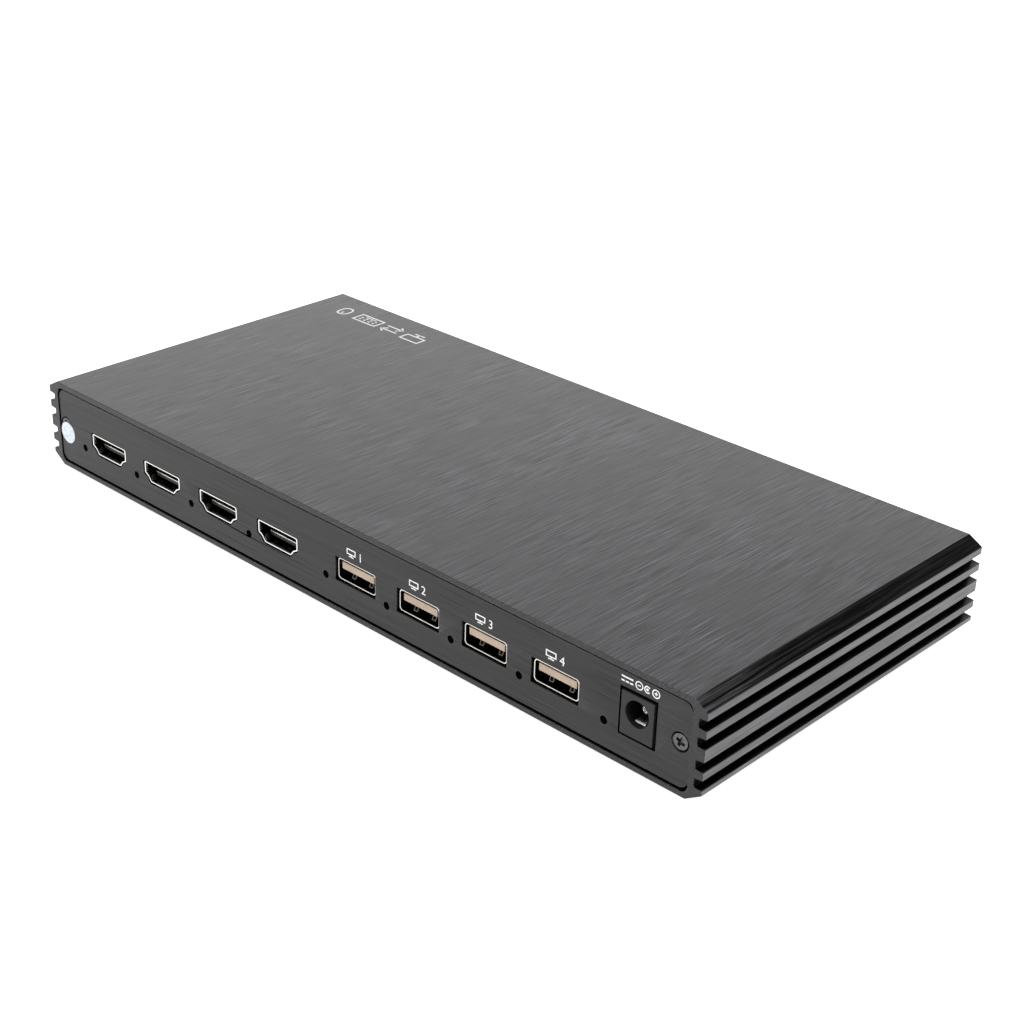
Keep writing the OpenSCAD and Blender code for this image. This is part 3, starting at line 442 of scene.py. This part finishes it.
class Shape:
    """Rings of points in planes square to an axis, walls between rings, and flat caps over them.
    A point is (u, v) in its plane at depth d; u, v and the outward axis -d make a right-handed set."""

    def __init__(self):
        self.points, self.faces, self.count = [], [], 0

    def ring(self, outline, depth):
        """An outline, anticlockwise for a rim and clockwise for a hole, at a depth."""
        n = len(outline)
        self.points.append(np.column_stack([outline, np.broadcast_to(depth, n)]))
        self.count += n
        return np.arange(self.count - n, self.count)

    def wall(self, *rings):
        """Four-sided faces between each ring and the next one, which lies deeper."""
        for a, b in zip(rings, rings[1:]):
            self.faces += np.column_stack([a, b, np.roll(b, -1), np.roll(a, -1)]).tolist()

    def cap(self, *rings, outward=True):
        """Triangles over what an odd number of the rings surrounds, found at each triangle's middle."""
        index = np.concatenate(rings)
        flat = np.concatenate(self.points)[index][:, :2] / MM
        start = np.cumsum([0] + [len(r) for r in rings])
        edges = np.concatenate([
            np.column_stack([np.arange(a, b), np.roll(np.arange(a, b), -1)])
            for a, b in zip(start, start[1:])
        ])
        made = delaunay_2d_cdt([Vector(p) for p in flat.tolist()], edges.tolist(), [], 0, 1e-7)
        tris, source = np.array(made[2]), np.array([s[0] for s in made[3]])
        tris = source[tris]
        middle = flat[tris].mean(1)
        p, q = flat[edges[:, 0]], flat[edges[:, 1]]
        x, y = middle[:, :1], middle[:, 1:]
        spans = (p[:, 1] > y) != (q[:, 1] > y)
        rise = np.where(q[:, 1] == p[:, 1], 1e-12, q[:, 1] - p[:, 1])
        inside = (spans & (x < p[:, 0] + (y - p[:, 1]) * (q[:, 0] - p[:, 0]) / rise)).sum(1) % 2 == 1
        tris = index[tris[inside]]
        self.faces += (tris if outward else tris[:, ::-1]).tolist()

    def mesh(self, name, place):
        """The mesh, its points (u, v, d) carried by place to world coordinates."""
        points = np.concatenate(self.points) if self.count else np.zeros((0, 3))
        made = bpy.data.meshes.new(name)
        made.from_pydata(place(points).tolist(), [], self.faces)
        made.validate()
        return made


def facing_rear(x, z, y):
    """Carries (u, v, d) to the rear panel: u to +X, v to +Z, depth to +Y, from the given point."""
    return lambda p: np.column_stack([x + p[:, 0], y + p[:, 2], z + p[:, 1]])


def facing_front(x, z, y):
    """The same on the front panel: u to -X, v to +Z, depth to -Y."""
    return lambda p: np.column_stack([x - p[:, 0], y - p[:, 2], z + p[:, 1]])


def on_roof(x, y, z):
    """The same on the roof, read from the front: u to -X, v to -Y, depth to -Z."""
    return lambda p: np.column_stack([x - p[:, 0], y - p[:, 1], z - p[:, 2]])


def side_rear(x, z, y):
    """Carries a side outline to the rear: u is depth towards +Y, v is height, and d runs towards -X."""
    return lambda p: np.column_stack([x - p[:, 2], y + p[:, 0], z + p[:, 1]])


def side_front(x, z, y):
    """The same at the front: u is depth towards -Y, and d runs towards +X."""
    return lambda p: np.column_stack([x + p[:, 2], y - p[:, 0], z + p[:, 1]])


def grown(outline, g):
    """The outline with every edge moved out by g: each corner moves along the sum of its two normals."""
    ahead = np.roll(outline, -1, 0) - outline
    normal = np.column_stack([ahead[:, 1], -ahead[:, 0]]) / np.linalg.norm(ahead, axis=1)[:, None]
    before = np.roll(normal, 1, 0)
    return outline + g * (normal + before) / (1 + (normal * before).sum(1))[:, None]


def circle(radius, steps=48, x=0.0, y=0.0):
    """Points at equal angles, anticlockwise."""
    a = np.arange(steps) * 2 * math.pi / steps
    return np.column_stack([x + radius * np.cos(a), y + radius * np.sin(a)])


# ---- Panel screws ----

SCREW_D, SCREW_HEAD_D, SCREW_LEN = 2.4 * MM, 4.6 * MM, 9 * MM
CROSS_HALF_LEN, CROSS_HALF_W, CROSS_TIP = 1.26 * MM, 0.4 * MM, 0.16 * MM
# The head's rim as how far inside its full radius and how deep, and the recess's walls as how much
# narrower than the cross and how deep.
HEAD_RIM = ((0.5 * MM, 0.0), (0.42 * MM, 0.03 * MM), (0.38 * MM, 0.1 * MM), (0.46 * MM, 0.6 * MM))
RECESS_WALL = ((-0.05 * MM, 0.0), (-0.01 * MM, 0.035 * MM), (0.0, 0.1 * MM), (0.09 * MM, 0.7 * MM))
THREAD_PITCH, THREAD_DEPTH, HEAD_SINK = 0.6 * MM, 0.25 * MM, 0.1 * MM


def cross_outline(half_len, half_w, turn, tip):
    """A plus sign turned by an angle, its arms' ends rounded by three points each. Anticlockwise."""
    arm = np.array([[half_w, half_w], [half_w, half_len - tip], [half_w * 0.62, half_len - tip * 0.3],
                    [0, half_len], [-half_w * 0.62, half_len - tip * 0.3], [-half_w, half_len - tip]])
    angles = turn + np.arange(4) * math.pi / 2
    turned = [arm @ np.array([[math.cos(a), math.sin(a)], [-math.sin(a), math.cos(a)]]) for a in angles]
    return np.concatenate(turned)


def screw(shape, centre, turn):
    """A countersunk screw. Its head narrows to the core, and the thread's radius at depth d and angle a is
    the core plus a triangle wave of (d / pitch - a / full turn), so that the crest winds as a helix."""
    r = SCREW_HEAD_D / 2
    core = SCREW_D / 2 - THREAD_DEPTH
    steps = 48
    at = np.array(centre)
    cross = cross_outline(CROSS_HALF_LEN, CROSS_HALF_W, turn, CROSS_TIP)
    rim = [shape.ring(circle(r - inset, steps) + at, HEAD_SINK + depth) for inset, depth in HEAD_RIM]
    recess = [shape.ring(grown(cross, -inset)[::-1] + at, HEAD_SINK + depth) for inset, depth in RECESS_WALL]
    shape.cap(rim[0], recess[0])
    shape.wall(*recess)
    shape.cap(recess[-1])
    angle = np.arange(steps) / steps
    start, end = HEAD_SINK + 1.35 * MM, SCREW_LEN - 0.9 * MM
    depths = np.arange(start, end, THREAD_PITCH / 8)
    rings = rim
    for d in (HEAD_SINK + 1.08 * MM, *depths, end):
        wave = 1 - np.abs(((d / THREAD_PITCH - angle) % 1) * 2 - 1)
        fade = np.clip((d - start) / THREAD_PITCH, 0, 1) * np.clip((end - d) / THREAD_PITCH, 0, 1)
        radius = core + THREAD_DEPTH * wave * fade
        rings.append(shape.ring(circle(1.0, steps) * radius[:, None] + at, d))
    rings.append(shape.ring(circle(0.3 * MM, steps) + at, SCREW_LEN))
    shape.wall(*rings)
    shape.cap(rings[-1], outward=False)


def add_screws():
    """Two screws in each panel, each with its cross stopped at its own angle."""
    for name, place, y, turns in (
        ("rear_panel_screws", facing_rear, corners("rear_panel")[0][1], (0.45, 1.15)),
        ("front_panel_screws", facing_front, corners("front_panel")[1][1], (0.9, 0.1)),
    ):
        low, high = corners(name)
        reach = (high[0] - low[0] - SCREW_HEAD_D) / 2
        shape = Shape()
        for side, turn in zip((-1, 1), turns):
            screw(shape, (side * reach, 0.0), turn)
        made = shape.mesh(name, place((low[0] + high[0]) / 2, (low[2] + high[2]) / 2, y))
        add_piece(name + "_threaded", made, "black_screw", replaced=(name,))


add_screws()

# ---- Round pieces ----


def turned(shape, profile, steps=64, at=(0.0, 0.0)):
    """A profile of (radius, depth) pairs turned about the depth axis, closed at both ends by flat caps."""
    rings = [shape.ring(circle(max(r, 1e-5), steps) + np.array(at), d) for r, d in profile]
    shape.cap(rings[0])
    shape.wall(*rings)
    shape.cap(rings[-1], outward=False)


def arc(radius, depth, r, start, end, steps):
    """Points on a small circle of radius r round (radius, depth), from one angle to another in degrees."""
    a = np.radians(np.linspace(start, end, steps))
    return np.column_stack([radius + r * np.sin(a), depth - r * np.cos(a)])


BUTTON_D, BUTTON_EDGE, BUTTON_CROWN = 6 * MM, 0.5 * MM, 0.12 * MM
FLANGE_R, FLANGE_T, STEM_R = 3.8 * MM, 0.8 * MM, 2.2 * MM


def add_buttons():
    """A cap's face is a parabola of the radius with a shallow finger dish, and its rim a quarter circle."""
    panel_y = corners("front_panel")[1][1]
    panel_t = panel_y - corners("front_panel")[0][1]
    for i in range(1, 5):
        name = f"select_button_{i}"
        low, high = corners(name)
        top = panel_y - high[1]
        r = BUTTON_D / 2 - BUTTON_EDGE
        s = np.linspace(0, 1, 14)
        face = np.column_stack([s * r, top + BUTTON_CROWN * s**2 + 0.09 * MM * (1 - s**2) ** 2])
        rim = arc(r, top + BUTTON_CROWN + BUTTON_EDGE, BUTTON_EDGE, 8, 90, 9)
        flange = panel_t + 0.1 * MM
        back = np.array([
            [BUTTON_D / 2, flange], [FLANGE_R - 0.08 * MM, flange], [FLANGE_R, flange + 0.08 * MM],
            [FLANGE_R, flange + FLANGE_T - 0.08 * MM], [FLANGE_R - 0.08 * MM, flange + FLANGE_T],
            [STEM_R, flange + FLANGE_T], [STEM_R, panel_y - low[1]],
        ])
        shape = Shape()
        turned(shape, np.concatenate([face, rim, back]))
        made = shape.mesh(name, facing_front((low[0] + high[0]) / 2, (low[2] + high[2]) / 2, panel_y))
        add_piece(name + "_cap", made, "button_plastic", f"button_{i}", (name,))


add_buttons()


def add_feet():
    """Four feet: a flat tread with a shallow round groove, a rounded edge and a tapering side."""
    low, high = corners("rubber_feet")
    r, h = 5 * MM, high[2] - low[2]
    shape = Shape()
    profile = np.concatenate([
        np.array([[0, 0.25 * MM], [1.9 * MM, 0.25 * MM], [2.1 * MM, 0.0], [r - 0.8 * MM, 0.0]]),
        arc(r - 0.8 * MM, 0.5 * MM, 0.5 * MM, 20, 75, 5),
        np.array([[r - 0.1 * MM, h * 0.62], [r, h]]),
    ])
    middle = (low + high) / 2
    for x in (low[0] + r, high[0] - r):
        for y in (low[1] + r, high[1] - r):
            turned(shape, profile, 48, (x - middle[0], y - middle[1]))
    made = shape.mesh("rubber_feet", lambda p: np.column_stack(
        [middle[0] + p[:, 0], middle[1] - p[:, 1], low[2] + p[:, 2]]))
    add_piece("rubber_feet_moulded", made, "foot_rubber", replaced=("rubber_feet",))


add_feet()


def add_seal():
    """A paper disc over the left screw. Its height falls to the panel at the rim as a quarter circle does,
    and it dips a little over the gap round the screw's head."""
    low, high = corners("seal_sticker")
    screws_low, screws_high = corners("rear_panel_screws")
    r, t = (high[0] - low[0]) / 2, high[1] - low[1]
    middle = (low + high) / 2
    screw_x, screw_z = screws_low[0] + SCREW_HEAD_D / 2, (screws_low[2] + screws_high[2]) / 2
    over = np.array([screw_x - middle[0], screw_z - middle[2]])
    shape = Shape()
    rings = []
    for share in (0.02, *np.linspace(0.08, 0.94, 22), 0.97, 0.99, 1.0):
        flat = circle(r * share, 96)
        away = np.linalg.norm(flat - over, axis=1)
        dip = 0.05 * MM * np.exp(-(((away - SCREW_HEAD_D / 2) / (0.22 * MM)) ** 2))
        curl = 0.03 * MM * max(0.0, (share - 0.9) / 0.1) ** 2
        rings.append(shape.ring(flat, -t + curl + np.minimum(dip, t * 0.5)))
    base = shape.ring(circle(r, 96), 0.0)
    shape.cap(rings[0])
    shape.wall(*rings, base)
    shape.cap(base, outward=False)
    made = shape.mesh("seal_sticker", facing_rear(middle[0], middle[2], high[1]))
    add_piece("seal_sticker_paper", made, "seal_paper", replaced=("seal_sticker",), smooth=50)


add_seal()


def ribbon(path, width):
    """The closed outline, anticlockwise, of a bent strip: its path moved half a width to each side."""
    path = np.array(path, float)
    step = np.diff(path, axis=0)
    step /= np.linalg.norm(step, axis=1)[:, None]
    after, before = np.vstack([step, step[-1:]]), np.vstack([step[:1], step])
    n, m = (np.column_stack([v[:, 1], -v[:, 0]]) for v in (after, before))
    side = (n + m) / (1 + (n * m).sum(1))[:, None] * width / 2
    return np.concatenate([path + side, (path - side)[::-1]])


def leaf(shape, outline, at, width):
    """A strip: its side outline, in depth and height, carried across by half a width to each side of at."""
    a = shape.ring(outline, at - width / 2)
    b = shape.ring(outline, at + width / 2)
    shape.cap(a)
    shape.wall(a, b)
    shape.cap(b, outward=False)


def box_path(x, y, w, h):
    """The corners of a box with its middle at (x, y), anticlockwise."""
    return [(x - w / 2, y - h / 2), (x + w / 2, y - h / 2), (x + w / 2, y + h / 2), (x - w / 2, y + h / 2)]


JACK_HOLE_Z, JACK_LEN = 6.2 * MM, 14.2 * MM


def add_jack_metal():
    """The jack's pin has a hollow in its domed tip, and a flat tail. Its leaf rolls over in front, rises to a
    low crest and turns down at the back."""
    body = corners("power_jack_body")
    x, front = (body[0][0] + body[1][0]) / 2, body[0][1]
    z = body[0][2] + JACK_HOLE_Z
    pin, spring = corners("power_jack_pin"), corners("power_jack_spring")
    tip = pin[0][1] - front
    r = 1.0 * MM
    shape = Shape()
    turned(shape, np.concatenate([
        np.array([[0.34 * MM, 0.6 * MM], [0.38 * MM, 0.08 * MM], [0.46 * MM, 0.0]]) + np.array([0, tip]),
        arc(r - 0.5 * MM, tip + 0.5 * MM, 0.5 * MM, 8, 90, 8), np.array([[r, pin[1][1] - front]]),
    ]), 48)
    made = shape.mesh("power_jack_pin", facing_rear(x, z, front))
    add_piece("power_jack_pin_turned", made, "jack_metal", replaced=("power_jack_pin",))
    shape = Shape()
    foot = pin[0][2] - z
    end, top = pin[1][1] - front, 1.3 * MM
    tail = box_path((JACK_LEN + end) / 2, (foot + top) / 2, end - JACK_LEN, top - foot)
    leaf(shape, np.array(tail), 0.0, pin[1][0] - pin[0][0])
    made = shape.mesh("power_jack_tail", side_rear(x, z, front))
    add_piece("power_jack_tail", made, "jack_metal")
    shape = Shape()
    a = np.radians(np.linspace(-70, 90, 9))
    lip = np.column_stack([1.82 - 0.38 * np.cos(a), -2.86 + 0.38 * np.sin(a)])
    back = (spring[1][1] - front) / MM
    crest = [[2.6, -2.48], [3.6, -2.5], [4.6, -2.68], [6.0, -3.3], [7.4, -3.9], [8.1, -4.15]]
    path = np.concatenate([lip, crest, [[back - 0.15, -4.5], [back - 0.15, -6.1]]])
    leaf(shape, ribbon(path, 0.28) * MM, 0.0, spring[1][0] - spring[0][0])
    foot = (spring[0][2] - z) / MM
    leaf(shape, np.array(box_path(back - 0.15, (foot - 5.8) / 2, 0.28, -5.8 - foot)) * MM, 0.0, 2.0 * MM)
    made = shape.mesh("power_jack_leaf", side_rear(x, z, front))
    add_piece("power_jack_leaf", made, "jack_metal", replaced=("power_jack_spring",), smooth=40)


add_jack_metal()

# ---- Spring tabs inside the video ports ----


def add_video_springs():
    """Two leaf springs under and two over each tongue: a strip whose height is a raised half cosine."""
    shells = [f"video_in_shell_{i}" for i in range(1, 5)]
    for name in (*shells, "video_out_shell"):
        low, high = corners(name)
        rear = name != "video_out_shell"
        x = (low[0] + high[0]) / 2
        top = high[2] - 0.4 * MM
        floor = top - 4.8 * MM
        shape = Shape()
        s = np.linspace(0, 1, 13)
        lift = 0.34 * MM * np.sin(math.pi * s) ** 0.8
        for u in (-2.6, 2.6):
            for base, up in ((floor - top, 1), (0.0, -1)):
                outer = np.column_stack([1.6 * MM + s * 4.4 * MM, base + up * (lift + 0.02 * MM)])
                inner = np.column_stack([1.6 * MM + s * 4.4 * MM, base + up * (lift - 0.1 * MM)])
                outline = np.concatenate([outer, inner[::-1]])
                if up > 0:
                    outline = outline[::-1]
                leaf(shape, outline, u * MM, 0.9 * MM)
        place = side_rear(x, top, low[1]) if rear else side_front(x, top, high[1])
        add_piece(name + "_springs", shape.mesh(name, place), "port_steel")
        shape = Shape()
        leaf(shape, np.array(box_path(2.06, -2.56, 0.16, 0.2)) * MM, 0.0, 10.0 * MM)
        add_piece(name + "_tongue_edge", shape.mesh(name, place), "port_steel", material=spring_steel)


add_video_springs()


def add_data_tabs():
    """Two square spring tabs on the floor of each data port: frames that lean back from upright."""
    hosts = [f"host_port_shell_{i}" for i in range(1, 5)]
    devices = [f"device_port_shell_{i}" for i in range(1, 4)]
    for name in hosts + devices:
        low, high = corners(name)
        rear = low[1] < 0
        x = (low[0] + high[0]) / 2
        floor = high[2] - 5.4 * MM
        lean = math.radians(28)
        shape = Shape()
        for u in (-3.0 * MM, 3.0 * MM):
            rim = np.array(box_path(u, 0.62 * MM, 1.25 * MM, 1.25 * MM))
            hole = np.array(box_path(u, 0.62 * MM, 0.85 * MM, 0.85 * MM))[::-1]
            front = [shape.ring(o, -0.05 * MM) for o in (rim, hole)]
            back = [shape.ring(o, 0.05 * MM) for o in (rim, hole)]
            shape.cap(*front)
            for a, b in zip(front, back):
                shape.wall(a, b)
            shape.cap(*back, outward=False)
        y = low[1] + 1.75 * MM if rear else high[1] - 1.75 * MM
        flat = (facing_rear if rear else facing_front)(x, floor, y)
        c, s = math.cos(lean), math.sin(lean)
        tilt = np.array([[1, 0, 0], [0, c, s], [0, -s, c]])
        leaning = lambda p: flat(p @ tilt)
        add_piece(name + "_tabs", shape.mesh(name, leaning), "port_steel", material=tab_steel_painted_shade)


add_data_tabs()

# ---- Printed marks ----

INK = 0.014 * MM


def stroke(shape, path, width, closed=False):
    """A line of even width: the path moved half a width to each side along its mitred normals."""
    path = np.array(path, float)
    step = np.roll(path, -1, 0) - path
    step /= np.maximum(np.linalg.norm(step, axis=1), 1e-12)[:, None]
    if not closed:
        step[-1] = step[-2]
        before = np.vstack([step[:1], step[:-1]])
    else:
        before = np.roll(step, 1, 0)
    n, m = (np.column_stack([v[:, 1], -v[:, 0]]) for v in (step, before))
    side = (n + m) / (1 + (n * m).sum(1))[:, None] * width / 2
    if closed:
        print_area(shape, path + side, (path - side)[::-1])
    else:
        print_area(shape, np.concatenate([path + side, (path - side)[::-1]]))


def print_area(shape, *outlines):
    """A film of ink over an outline with holes, standing on the surface."""
    outlines = [o if i or area(o) > 0 else o[::-1] for i, o in enumerate(outlines)]
    outlines = outlines[:1] + [o if area(o) < 0 else o[::-1] for o in outlines[1:]]
    tops = [shape.ring(o, -INK) for o in outlines]
    feet = [shape.ring(o, 0.0) for o in outlines]
    shape.cap(*tops)
    for top, foot in zip(tops, feet):
        shape.wall(top, foot)
    shape.cap(*feet, outward=False)


def area(outline):
    """Half the sum of the cross products of neighbouring points: more than 0 if anticlockwise."""
    a, b = outline, np.roll(outline, -1, 0)
    return float((a[:, 0] * b[:, 1] - a[:, 1] * b[:, 0]).sum() / 2)


def digit(shape, text, height, x, y):
    """A figure from the built-in face, scaled to a height and centred on a point."""
    curve = bpy.data.curves.new("figure", "FONT")
    curve.body, curve.resolution_u = text, 6
    holder = bpy.data.objects.new("figure", curve)
    bpy.context.scene.collection.objects.link(holder)
    flat = bpy.data.meshes.new_from_object(holder.evaluated_get(bpy.context.evaluated_depsgraph_get()))
    work = bmesh.new()
    work.from_mesh(flat)
    bmesh.ops.remove_doubles(work, verts=work.verts, dist=1e-5)
    points = np.array([v.co[:2] for v in work.verts])
    follow = {}
    for edge in work.edges:
        if len(edge.link_faces) == 1:
            loop = edge.link_loops[0]
            follow[loop.vert.index] = loop.link_loop_next.vert.index
    work.free()
    bpy.data.objects.remove(holder)
    bpy.data.curves.remove(curve)
    bpy.data.meshes.remove(flat)
    low, high = points.min(0), points.max(0)
    points = (points - (low + high) / 2) * height / (high[1] - low[1]) + np.array([x, y])
    loops = []
    while follow:
        at = next(iter(follow))
        loop = []
        while at in follow:
            loop.append(at)
            at = follow.pop(at)
        loops.append(points[loop])
    loops.sort(key=lambda o: -abs(area(o)))
    print_area(shape, *loops)


def screen_mark(shape, x, y, w, h, line):
    """A screen on its stand: an outlined box, a short neck and a foot."""
    stand = h * 0.28
    stroke(shape, box_path(x, y + stand / 2, w - line, h - stand - line), line, True)
    stroke(shape, [(x, y - h / 2 + stand), (x, y - h / 2 + line * 0.5)], line * 1.4)
    stroke(shape, [(x - w * 0.27, y - h / 2 + line / 2), (x + w * 0.27, y - h / 2 + line / 2)], line)


def print_rear():
    """A small screen and a number over each host port, and the mark of direct current over the jack."""
    face = corners("rear_panel")[0]
    shape = Shape()
    for i in range(1, 5):
        low, high = corners(f"host_port_shell_{i}")
        x = (low[0] + high[0]) / 2
        z = high[2] + 2.95 * MM
        screen_mark(shape, x - 1.25 * MM, z, 3.1 * MM, 2.15 * MM, 0.3 * MM)
        digit(shape, str(i), 2.15 * MM, x + 1.95 * MM, z)
    low, high = corners("power_jack_body")
    x, z, line = (low[0] + high[0]) / 2, high[2] + 2.5 * MM, 0.36 * MM
    stroke(shape, [(x - 4.9 * MM, z + 0.5 * MM), (x - 1.7 * MM, z + 0.5 * MM)], line)
    for k in range(3):
        a = x - 4.9 * MM + k * 1.15 * MM
        stroke(shape, [(a, z - 0.5 * MM), (a + 0.9 * MM, z - 0.5 * MM)], line)
    for cx, kind in ((-0.1, "-"), (2.1, "."), (4.4, "+")):
        cx = x + cx * MM
        r = 0.92 * MM if kind != "." else 0.76 * MM
        if kind == ".":
            print_area(shape, circle(0.34 * MM, 24, cx, z))
            a = np.radians(np.linspace(40, 320, 25))
            stroke(shape, np.column_stack([cx + r * np.cos(a), z + r * np.sin(a)]), line * 0.8)
        else:
            stroke(shape, circle(r, 36, cx, z), line * 0.72, True)
            stroke(shape, [(cx - 0.42 * MM, z), (cx + 0.42 * MM, z)], line * 0.72)
        if kind == "+":
            stroke(shape, [(cx, z - 0.42 * MM), (cx, z - line * 0.36)], line * 0.72)
            stroke(shape, [(cx, z + line * 0.36), (cx, z + 0.42 * MM)], line * 0.72)
    made = shape.mesh("rear_print", facing_rear(0.0, 0.0, face[1]))
    add_piece("rear_print", made, "seal_paper", material=print_white)


print_rear()


def print_front():
    """A number over each select button, a wave over the audio jack and a screen over the video port."""
    high = corners("front_panel")[1]
    shape = Shape()
    for i in range(1, 5):
        low, top = corners(f"select_button_{i}")
        digit(shape, str(i), 2.2 * MM, -(low[0] + top[0]) / 2, top[2] + 1.3 * MM)
    low, top = corners("video_out_shell")
    screen_mark(shape, -(low[0] + top[0]) / 2, top[2] + 2.2 * MM, 3.4 * MM, 2.3 * MM, 0.32 * MM)
    low, top = corners("audio_jack_body")
    x, z = -(low[0] + top[0]) / 2, top[2] + 1.5 * MM
    a = np.radians(np.linspace(0, 180, 17))
    stroke(shape, np.column_stack([x + 1.05 * MM * np.cos(a), z + 1.0 * MM * np.sin(a)]), 0.3 * MM)
    for side in (-1, 1):
        ear = x + side * 1.05 * MM
        stroke(shape, [(ear, z - 0.05 * MM), (ear, z - 1.0 * MM)], 0.62 * MM)
    made = shape.mesh("front_print", facing_front(0.0, 0.0, high[1]))
    add_piece("front_print", made, "seal_paper", material=print_white)


print_front()


def print_roof():
    """Four marks in a row, read from the front: a screen, two crossed arrows, a keyboard and a mouse."""
    high = corners("case_extrusion")[1]
    h, line = 5.6 * MM, 0.62 * MM
    shape = Shape()
    screen_mark(shape, -14.4 * MM, 0.0, 7.6 * MM, h, line)
    for side in (-1, 1):
        y = side * 1.35 * MM
        tip = -5.0 * MM + side * 3.2 * MM
        tail = -5.0 * MM - side * 3.2 * MM
        stroke(shape, [(tail, y), (tip - side * line * 0.2, y)], line)
        barb = tip - side * 1.7 * MM
        stroke(shape, [(barb, y + 1.45 * MM), (tip, y), (barb, y - 1.45 * MM)], line)
    stroke(shape, box_path(5.2 * MM, 0.0, 9.2 * MM, h * 0.8), line, True)
    for row, count in ((0.9, 4), (-0.25, 4)):
        for k in range(count):
            u = 5.2 * MM + (k - (count - 1) / 2) * 1.9 * MM
            stroke(shape, [(u - 0.42 * MM, row * MM), (u + 0.42 * MM, row * MM)], 0.6 * MM)
    stroke(shape, [(3.0 * MM, -1.25 * MM), (7.4 * MM, -1.25 * MM)], 0.5 * MM)
    a = np.linspace(0, 2 * math.pi, 48, endpoint=False)
    across, up = (np.sign(v) * np.abs(v) ** 0.8 for v in (np.cos(a), np.sin(a)))
    mouse = 15.6 * MM
    stroke(shape, np.column_stack([mouse + 1.85 * MM * across, (h - line) / 2 * up]), line, True)
    stroke(shape, [(mouse, 0.5 * MM), (mouse, 1.7 * MM)], line)
    made = shape.mesh("roof_print", on_roof(-0.0835, high[1] - 9.9 * MM, high[2]))
    add_piece("roof_print", made, "seal_paper", material=print_white)


print_roof()

# ---- Floor and light ----


def add_floor():
    """A pale studio floor, large enough to fill every view."""
    size = 12.0
    s = np.linspace(-size, size, 25)
    x, y = np.meshgrid(s, s)
    n = len(s)
    index = np.arange(n * n).reshape(n, n)
    faces = np.stack([index[:-1, :-1], index[:-1, 1:], index[1:, 1:], index[1:, :-1]], -1).reshape(-1, 4)
    mesh = bpy.data.meshes.new("floor")
    mesh.from_pydata(np.column_stack([x.ravel(), y.ravel(), np.zeros(n * n)]).tolist(), [], faces.tolist())
    f = Finish("floor_paint", roughness=0.9, specular_ior_level=0.1, emission_strength=0.85)
    f.set("Emission Color", (1.0, 1.0, 1.0))
    f.set("Base Color", f.mix(f.noise(0.5, 2.0), (0.9, 0.9, 0.9), (0.92, 0.92, 0.92)))
    mesh.materials.append(f.material)
    floor = bpy.data.objects.new("floor", mesh)
    bpy.context.scene.collection.objects.link(floor)


def add_light(name, at, size, power, aim=(0.0, 0.0, 0.012)):
    """A soft rectangular light at a point, facing the object."""
    data = bpy.data.lights.new(name, "AREA")
    data.shape, data.size, data.size_y, data.energy = "RECTANGLE", size[0], size[1], power
    light = bpy.data.objects.new(name, data)
    turn = (Vector(aim) - Vector(at)).to_track_quat("-Z", "Y").to_matrix().to_4x4()
    light.matrix_world = Matrix.Translation(at) @ turn
    light.visible_camera = False
    bpy.context.scene.collection.objects.link(light)


def add_world():
    """A studio room: pale near the horizon, dim half way up and brighter overhead."""
    world = bpy.data.worlds.new("studio")
    world.use_nodes = True
    tree = world.node_tree
    place = tree.nodes.new("ShaderNodeTexCoord")
    split = tree.nodes.new("ShaderNodeSeparateXYZ")
    ramp = tree.nodes.new("ShaderNodeValToRGB")
    tree.links.new(place.outputs["Generated"], split.inputs[0])
    tree.links.new(split.outputs["Z"], ramp.inputs["Fac"])
    tree.links.new(ramp.outputs["Color"], tree.nodes["Background"].inputs["Color"])
    stops = ((0.0, 1.0), (0.2, 1.0), (0.36, 0.5), (0.5, 0.06), (0.66, 0.08), (0.78, 0.6), (1.0, 0.8))
    while len(ramp.color_ramp.elements) < len(stops):
        ramp.color_ramp.elements.new(0.5)
    for element, (position, level) in zip(ramp.color_ramp.elements, stops):
        element.position, element.color = position, (level, level, level, 1)
    bpy.context.scene.world = world


add_floor()
add_world()
add_light("left_back_softbox", (-0.95, 1.0, 0.62), (1.5, 0.8), 3.3)
add_light("overhead_softbox", (0.1, -0.1, 1.3), (1.2, 1.2), 7.0)
add_light("right_front_softbox", (1.2, -0.7, 0.7), (0.8, 0.8), 3.0)
bpy.context.scene.view_settings.view_transform = "Standard"
